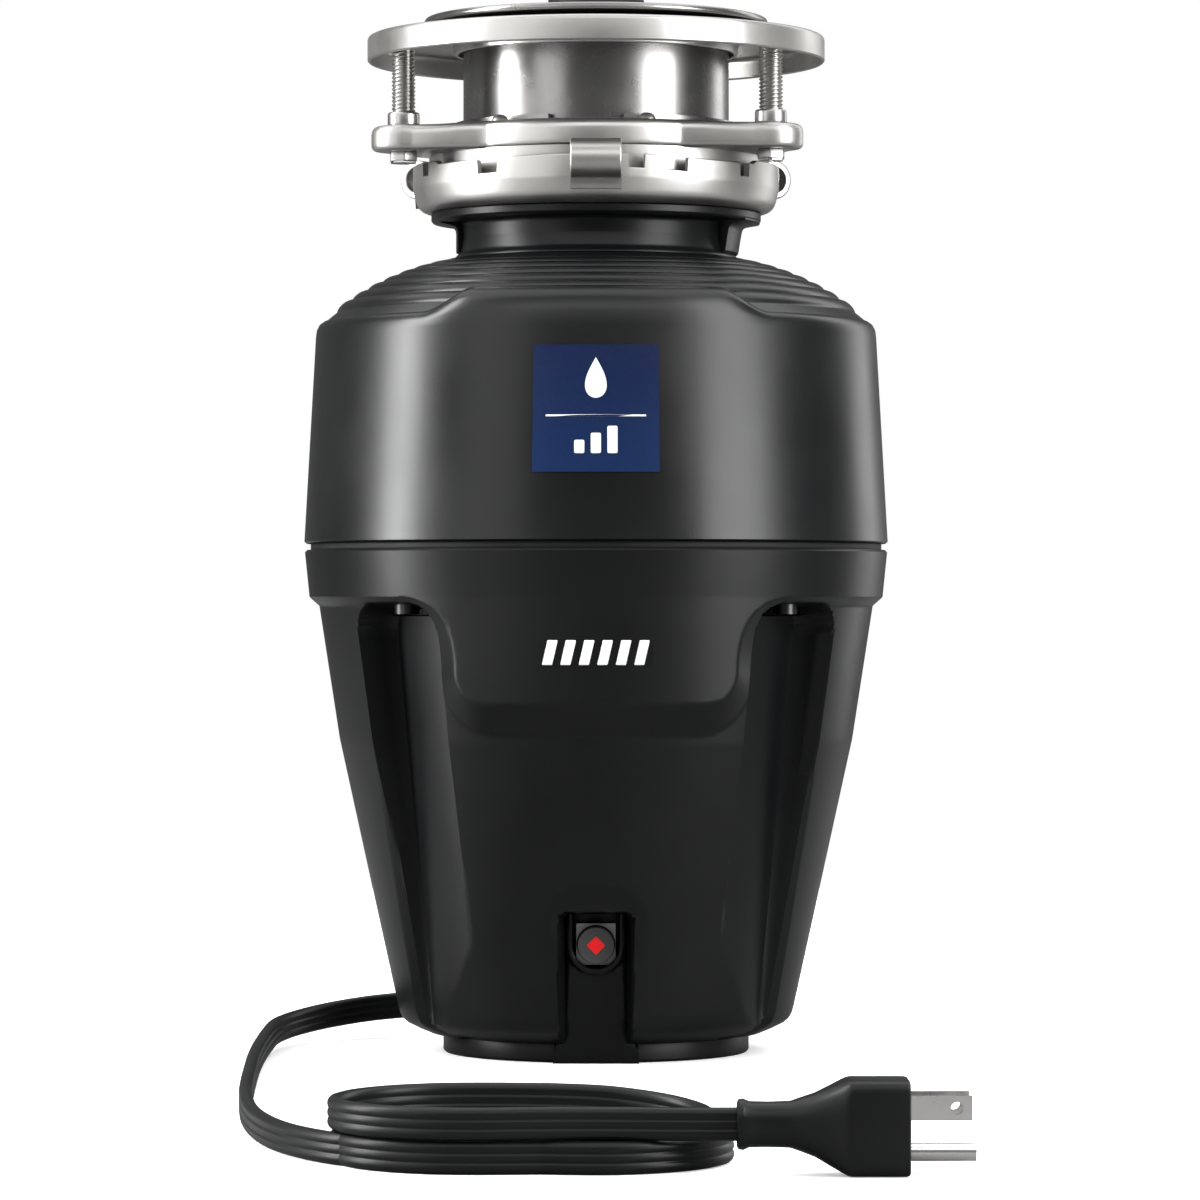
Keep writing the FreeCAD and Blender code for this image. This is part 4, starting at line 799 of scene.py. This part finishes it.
def make_base_cap():
    ring = rounded([(0, 0), (49.8, 0), (50.5, 0.8), (50.5, 6.4), (47.6, 6.4), (47.6, 4.4), (0, 4.4)],
                   [0, 0.4, 0.4, 0.5, 0.3, 0.5, 0], 3)
    parts = [lathe(ring, 160)]

    # the tongue is a band between the button's U-shaped opening and the tongue's own outline
    top = SLOT_TOP - 0.8
    turn = np.linspace(-math.pi / 2, math.pi / 2, 37)
    lip = np.linspace(top, BUTTON_Z, 9)[:-1]
    inner = [(-BUTTON_HOLE, z) for z in lip]
    inner += [(BUTTON_HOLE * math.sin(t), BUTTON_Z - BUTTON_HOLE * math.cos(t)) for t in turn]
    inner += [(BUTTON_HOLE, z) for z in lip[::-1]]
    inner = np.array(inner)

    def half_width(z):
        return np.interp(z, [0, 5.6, 6.6, 30, top], [13.9, 13.7, 12.4, 11.2, 11.0])

    heights = np.concatenate([lip, np.linspace(BUTTON_Z, 6.8, 11), [5.4, 2.6]])
    flat = np.linspace(-1, 1, len(inner) - 2 * len(heights))
    outer = [(-half_width(z), z) for z in heights]
    outer += [(f * half_width(0), 0.0) for f in flat]
    outer += [(half_width(z), z) for z in heights[::-1]]
    outer = np.array(outer)

    near = np.array([0, 0.25, 0.8, 1.5, 1.9, 2.3])
    share = np.concatenate([[0], np.linspace(0, 1, 14)[1:-2], [0.93, 0.97, 1]])
    points = []
    for start, end in zip(inner, outer):
        gap = end - start
        length = math.hypot(*gap)
        far = 2.7 + (length - 2.7) * share
        steps = np.concatenate([near, far]) / length
        spots = start + gap * np.clip(steps, 0, 1)[:, None]
        u, z = spots[:, 0], spots[:, 1]
        face = tongue_face(z)
        boss = np.hypot(u, np.minimum(z - BUTTON_Z, 0)) - BUTTON_HOLE
        lift = 1.2 * (1 - ramp(boss, 1.5, 2.5)) - 0.5 * (1 - ramp(boss, 0.0, 0.3))
        side = half_width(z) - np.abs(u)
        drop = 3.2 * (1 - ramp(side, 0.0, 2.6)) * ramp(z, 6.0, 8.0)
        ahead = face + lift - drop
        ahead = np.minimum(ahead, cap_limit(z))
        back = face - 3.4 - drop * 0.3
        points += [(uu, -ff, zz) for uu, ff, zz in zip(u, ahead, z)]
        points += [(uu, -bb, zz) for uu, bb, zz in zip(u[::-1], back[::-1], z[::-1])]
    count = 2 * (len(near) + len(share))
    faces = ring_faces(len(inner), count, closed=False)
    parts.append((points, faces + end_caps(count, len(points))))
    piece("base_cap_skin", *merged(parts), "matte_black_plastic", stands_for=("base_cap",), crease=40)


def cap_limit(z):
    """The tongue stays behind the shell's own face."""
    return np.interp(z, [0, 10, 20, 50], [54.0, 60.5, 65.5, 71.0])


def make_button():
    """A stepped push button with a red diamond raised from its face."""
    face = 60.6
    disc = rounded([(0, 48.5), (5.4, 48.5), (5.4, 58.0), (6.0, 58.4), (6.0, 60.3), (5.7, face),
                    (4.6, 60.45), (0, 60.45)], [0, 0.4, 0, 0.2, 0.3, 0.2, 0.3, 0], 3)
    stand = Matrix.Translation((0, 0, BUTTON_Z)) @ Matrix.Rotation(math.radians(90), 4, "X")
    piece("reset_button_skin", *placed(spun(disc, 64), stand), "button_plastic", "button",
          stands_for=("reset_button",), crease=40)
    outline = rounded([(3.0, 0), (0, 3.0), (-3.0, 0), (0, -3.0)], 0.15, 2)
    diamond = slab(outline, face - 0.5, face + 0.05, 0.1)
    piece("button_mark", *placed(diamond, stand), "button_plastic", "button", material="red_mark")


make_base_cap()
make_button()


# ---- badge and marks ------------------------------------------------------------------------

UPPER_SHELL_LEAN = 3.8 / 68.0

def on_shell(outline, radius_at, thick, proud):
    """A flat outline of across and height wrapped onto the shell as a thin raised mark."""
    outline = [tuple(p) for p in outline]
    count = len(outline)
    mid_x = sum(p[0] for p in outline) / count
    mid_z = sum(p[1] for p in outline) / count
    points = []
    for lift, inset in ((-thick, 1.0), (proud * 0.6, 1.0), (proud, 0.94)):
        for x, z in outline:
            xx = mid_x + (x - mid_x) * inset
            zz = mid_z + (z - mid_z) * inset
            radius = radius_at(zz)
            angle = math.degrees(xx / radius)
            points.append(around(np.array([angle]), np.array([radius + lift]), np.array([zz]))[0])
    faces = ring_faces(3, count, closed=False)
    return points, faces + end_caps(count, len(points))


def make_marks():
    """A drop over a line and three bars on the badge, and six slanted bars on the name plate."""
    low, high = cad_box("badge")
    mid = (low.z + high.z) / 2
    face = -low.y

    def badge_radius(z):
        return face - (z - low.z) * UPPER_SHELL_LEAN + 0.02

    drop = []
    for k in range(40):
        t = 2 * math.pi * k / 40
        wide = 4.6 * math.sin(t) * math.sin(t / 2) ** 1.2
        drop.append((wide, mid + 9.6 + 6.4 * math.cos(t)))
    across = np.linspace(-15.8, 15.8, 23)
    line = [(x, mid - 2.6) for x in across] + [(x, mid - 2.0) for x in across[::-1]]
    parts = [on_shell(drop, badge_radius, 0.1, 0.12), on_shell(line, badge_radius, 0.1, 0.1)]
    for x, tall in ((-5.2, 4.2), (0, 6.4), (5.2, 8.6)):
        bar = [(x - 1.6, mid - 14.2), (x + 1.6, mid - 14.2), (x + 1.6, mid - 14.2 + tall),
               (x - 1.6, mid - 14.2 + tall)]
        parts.append(on_shell(rounded(bar, 0.5, 2), badge_radius, 0.1, 0.12))
    piece("badge_emblem", *merged(parts), "light_mark", crease=30)

    low, high = cad_box("name_bar")
    mid = (low.z + high.z) / 2
    half = (high.x - low.x) / 2

    def shield_radius(z):
        return float(np.interp(z, BAND_LINE[:, 0], BAND_LINE[:, 1]))

    corners = rounded([(-half, low.z), (half, low.z), (half, high.z), (-half, high.z)], 0.8, 3)
    plate = []
    for i, p in enumerate(corners):
        q = corners[(i + 1) % len(corners)]
        steps = max(1, int(math.dist(p, q) / 2))
        for k in range(steps):
            plate.append((p[0] + (q[0] - p[0]) * k / steps, p[1] + (q[1] - p[1]) * k / steps))
    piece("name_plate", *on_shell(plate, shield_radius, 0.3, 0.15), "matte_black_plastic", crease=30)
    parts = []
    for k in range(6):
        x = (k - 2.5) * 5.8
        bar = [(x - 2.5, mid - 3.9), (x + 0.7, mid - 3.9), (x + 2.5, mid + 3.9), (x - 0.7, mid + 3.9)]
        parts.append(on_shell(rounded(bar, 0.3, 2), shield_radius, 0.1, 0.35))
    piece("name_bar_mark", *merged(parts), "light_mark", stands_for=("name_bar",), crease=30)


make_marks()


# ---- mains lead -----------------------------------------------------------------------------

# the lead leaves the base at the back, comes round the left side on the floor and is laid in a
# flat loop of about two turns in front, in two layers, which ends at the plug
LEAD_ROUTE = [
    (-0.0440, 0.0570, 0.0120), (-0.0680, 0.0563, 0.0110), (-0.0910, 0.0435, 0.0085),
    (-0.1065, 0.0170, 0.0060), (-0.1080, -0.0190, 0.0047), (-0.1075, -0.0840, 0.0044),
    (-0.1045, -0.1600, 0.0044), (-0.1010, -0.2360, 0.0044), (-0.0945, -0.2960, 0.0044),
    (-0.0820, -0.3430, 0.0044), (-0.0600, -0.3760, 0.0044),
]
COIL_LEFT = (-0.033, -0.352)
COIL_RIGHT = (-0.002, -0.352)
LAYERS = (0.0044, 0.0132)
TURN_POINTS = 8
# each half turn's side, its radius, and the heights that it starts and ends at
HALF_TURNS = [
    ("right", 0.0380, LAYERS[0], LAYERS[0]),
    ("left", 0.0365, LAYERS[0], LAYERS[0]),
    ("right", 0.0335, LAYERS[0], LAYERS[1]),
    ("left", 0.0372, LAYERS[1], LAYERS[1]),
]
CORD_WIDTH = 0.0088
CORD_THICK = 0.0040
PLUG_START = (0.0380, -0.3860, 0.0130)
LEAD_TO_PLUG = [(-0.0150, -0.3872, 0.0133), (0.0060, -0.3862, 0.0132), (0.0230, -0.3860, 0.0130), PLUG_START]


def lead_points():
    """The lead's control points: its route over the floor, its loop and its run to the plug."""
    points = list(LEAD_ROUTE)
    for side, radius, start, end in HALF_TURNS:
        centre = COIL_RIGHT if side == "right" else COIL_LEFT
        for k in range(TURN_POINTS):
            t = k / (TURN_POINTS - 1)
            turn = math.pi * (t - 0.5) if side == "right" else math.pi * (t + 0.5)
            points.append((centre[0] + radius * math.cos(turn), centre[1] + radius * math.sin(turn),
                           start + (end - start) * t))
    return points + LEAD_TO_PLUG


def nurbs_line(points):
    """The points that Blender gives along a smooth spline through the route's control points."""
    curve = bpy.data.curves.new("lead_line", "CURVE")
    curve.dimensions = "3D"
    curve.resolution_u = 10
    spline = curve.splines.new("NURBS")
    spline.points.add(len(points) - 1)
    for place, point in zip(spline.points, points):
        place.co = (*point, 1)
    spline.order_u = 3
    spline.use_endpoint_u = True
    holder = bpy.data.objects.new("lead_line", curve)
    bpy.context.scene.collection.objects.link(holder)
    bpy.context.view_layer.update()
    mesh = bpy.data.meshes.new_from_object(holder)
    line = [v.co.copy() for v in mesh.vertices]
    bpy.data.objects.remove(holder)
    return line


def cord_section():
    """Three cores side by side: the flat cord's outline of across and up, in metres."""
    core = CORD_THICK / 2 * 0.98
    spacing = CORD_WIDTH / 2 - core
    rise = np.concatenate([
        centre + core * np.sin(np.linspace(-1.0, 1.0, 7)) for centre in (-spacing, 0, spacing)])
    rise = np.unique(np.round(np.concatenate([rise, [-CORD_WIDTH / 2, CORD_WIDTH / 2]]), 6))
    across = np.max([
        np.sqrt(np.maximum(core**2 - (rise - centre) ** 2, 0)) for centre in (-spacing, 0, spacing)], 0)
    right = list(zip(across, rise))
    left = [(-x, y) for x, y in right[::-1] if x > 1e-6]
    return right + left


def sweep(line, section):
    """The section carried along the line, its second axis kept upright, with flat ends."""
    points = []
    for i, spot in enumerate(line):
        ahead = line[min(i + 1, len(line) - 1)] - line[max(i - 1, 0)]
        ahead.normalize()
        side = ahead.cross(Vector((0, 0, 1))).normalized()
        up = side.cross(ahead)
        points += [(spot + side * x + up * y) / MM for x, y in section]
    faces = ring_faces(len(line), len(section), closed=False)
    return points, faces + end_caps(len(section), len(points))


def loft(sections):
    """Closed outlines joined along X: each is x, half depth, half height, middle height, squareness."""
    points = []
    steps = 48
    for x, deep, tall, middle, square in sections:
        for k in range(steps):
            t = 2 * math.pi * k / steps
            c, s = math.cos(t), math.sin(t)
            y = deep * math.copysign(abs(c) ** (2 / square), c)
            z = tall * math.copysign(abs(s) ** (2 / square), s)
            points.append((x, y, z + middle))
    faces = ring_faces(len(sections), steps, closed=False)
    return points, faces + end_caps(steps, len(points))


def make_plug():
    """The plug's collar, its flaring neck and its squared body."""
    middle = PLUG_START[2] / MM
    sections = [(36.8, 4.6, 5.8, middle, 2.4), (37.2, 5.6, 6.5, middle, 2.4), (38.4, 5.9, 6.7, middle, 2.4),
                (40.0, 5.3, 6.0, middle, 2.4), (45.0, 5.2, 5.9, middle, 2.4), (50.6, 5.6, 6.1, middle, 2.4),
                (53.0, 6.4, 6.9, middle, 2.5), (57, 7.4, 8.3, 12.9, 2.8),
                 (61, 8.8, 10.4, 12.7, 3.4), (64.2, 9.9, 12.0, 12.6, 4.5), (65.4, 10.4, 12.45, 12.5, 6),
                 (66.4, 10.5, 12.5, 12.5, 8), (80.4, 10.5, 12.5, 12.5, 8), (81.2, 10.3, 12.3, 12.5, 8),
                 (81.5, 9.9, 11.9, 12.5, 7)]
    part = placed(loft(sections), Matrix.Translation((0, PLUG_START[1] / MM, 0)))
    return piece("plug_body_skin", *part, "cord_vinyl", stands_for=("plug_body",), crease=35)


def make_relief():
    """The strain relief: a square flange and six tapering rings."""
    sections = [(-18.6, 8.2, 8.2, 12, 5), (-21.8, 8.2, 8.2, 12, 5), (-22.0, 6.9, 6.9, 12, 2.6)]
    for k in range(6):
        x = -23.2 - 3.3 * k
        size = 6.7 - 0.26 * k
        sections += [(x, size, size, 12, 2.2), (x - 1.7, size - 0.1, size - 0.1, 12, 2.2),
                     (x - 2.0, size - 0.9, size - 0.9, 12, 2.2), (x - 3.0, size - 1.0, size - 1.0, 12, 2.2)]
    sections += [(-43.2, 4.9, 4.9, 12, 2.2), (-44.0, 4.7, 4.8, 12, 2.2)]
    part = placed(loft(sections), Matrix.Translation((0, 57, 0)))
    return piece("strain_relief_skin", *part, "black_rubber", stands_for=("strain_relief",), crease=35)


plug = make_plug()
make_relief()
line = nurbs_line(lead_points())
cord = piece("mains_lead", *sweep(line, cord_section()), "cord_vinyl",
             stands_for=("cord_lead", "cord_coil", "cord_tail"), crease=60)


# ---- floor and light ------------------------------------------------------------------------

FLOOR_SIDE = 0.9
FLOOR_BACK = 1.0
FLOOR_GLOW = 0.35
FLOOR_BOUNCE = (0.25, 0.25, 0.25, 1)
ROOM_LIGHT = 0.16

def make_floor():
    """White paper. The light that it throws back at the object is dimmer than it looks."""
    mesh = bpy.data.meshes.new("floor")
    corners = [(-FLOOR_SIDE, -FLOOR_SIDE, 0), (FLOOR_SIDE, -FLOOR_SIDE, 0), (FLOOR_SIDE, FLOOR_BACK, 0),
               (-FLOOR_SIDE, FLOOR_BACK, 0)]
    mesh.from_pydata(corners, [], [(0, 1, 2, 3)])
    floor = bpy.data.objects.new("floor", mesh)
    bpy.context.scene.collection.objects.link(floor)
    n = Nodes("floor_paper")
    n.link(n.mix(n.noise(6), (0.93, 0.93, 0.93), (0.96, 0.96, 0.96)), n.shader.inputs["Base Color"])
    n.shader.inputs["Roughness"].default_value = 0.8
    n.shader.inputs["Emission Color"].default_value = (1, 1, 1, 1)
    n.shader.inputs["Emission Strength"].default_value = FLOOR_GLOW
    shaded = n.tree.nodes.new("ShaderNodeBsdfDiffuse")
    shaded.inputs["Color"].default_value = FLOOR_BOUNCE
    seen = n.tree.nodes.new("ShaderNodeLightPath")
    pick = n.tree.nodes.new("ShaderNodeMixShader")
    n.link(seen.outputs["Is Camera Ray"], pick.inputs["Fac"])
    n.link(shaded.outputs["BSDF"], pick.inputs[1])
    n.link(n.shader.outputs["BSDF"], pick.inputs[2])
    n.link(pick.outputs["Shader"], n.tree.nodes["Material Output"].inputs["Surface"])
    mesh.materials.append(n.material)


def softbox(name, place, aim, width, height, power):
    light = bpy.data.lights.new(name, "AREA")
    light.shape = "RECTANGLE"
    light.size = width
    light.size_y = height
    light.energy = power
    box = bpy.data.objects.new(name, light)
    box.location = place
    box.rotation_euler = (Vector(aim) - Vector(place)).to_track_quat("-Z", "Y").to_euler()
    bpy.context.scene.collection.objects.link(box)


def make_world():
    """A white backdrop, and a dimmer room round the object."""
    world = bpy.data.worlds.new("studio")
    world.use_nodes = True
    bpy.context.scene.world = world
    tree = world.node_tree
    backdrop = tree.nodes["Background"]
    backdrop.inputs["Color"].default_value = (1, 1, 1, 1)
    backdrop.inputs["Strength"].default_value = 1.0
    room = tree.nodes.new("ShaderNodeBackground")
    room.inputs["Color"].default_value = (1, 1, 1, 1)
    room.inputs["Strength"].default_value = ROOM_LIGHT
    seen = tree.nodes.new("ShaderNodeLightPath")
    pick = tree.nodes.new("ShaderNodeMixShader")
    tree.links.new(seen.outputs["Is Camera Ray"], pick.inputs["Fac"])
    tree.links.new(room.outputs["Background"], pick.inputs[1])
    tree.links.new(backdrop.outputs["Background"], pick.inputs[2])
    tree.links.new(pick.outputs["Shader"], tree.nodes["World Output"].inputs["Surface"])


MIDDLE = (0, -0.05, 0.17)
make_floor()
make_world()
softbox("left_box", (-1.05, -0.17, 0.35), MIDDLE, 0.26, 1.6, 36)
softbox("left_front_box", (-0.85, -1.0, 0.45), MIDDLE, 0.6, 1.3, 4.2)
softbox("right_box", (1.0, -0.70, 0.40), MIDDLE, 0.6, 1.5, 30)
softbox("right_rim_box", (0.85, 0.75, 0.35), MIDDLE, 0.4, 1.5, 5)
softbox("front_box", (0.0, -1.3, 1.0), MIDDLE, 1.6, 0.5, 7)
softbox("top_box", (0.0, 0.25, 2.1), (0, 0.2, 0), 3.4, 2.8, 66)

bpy.context.view_layer.update()
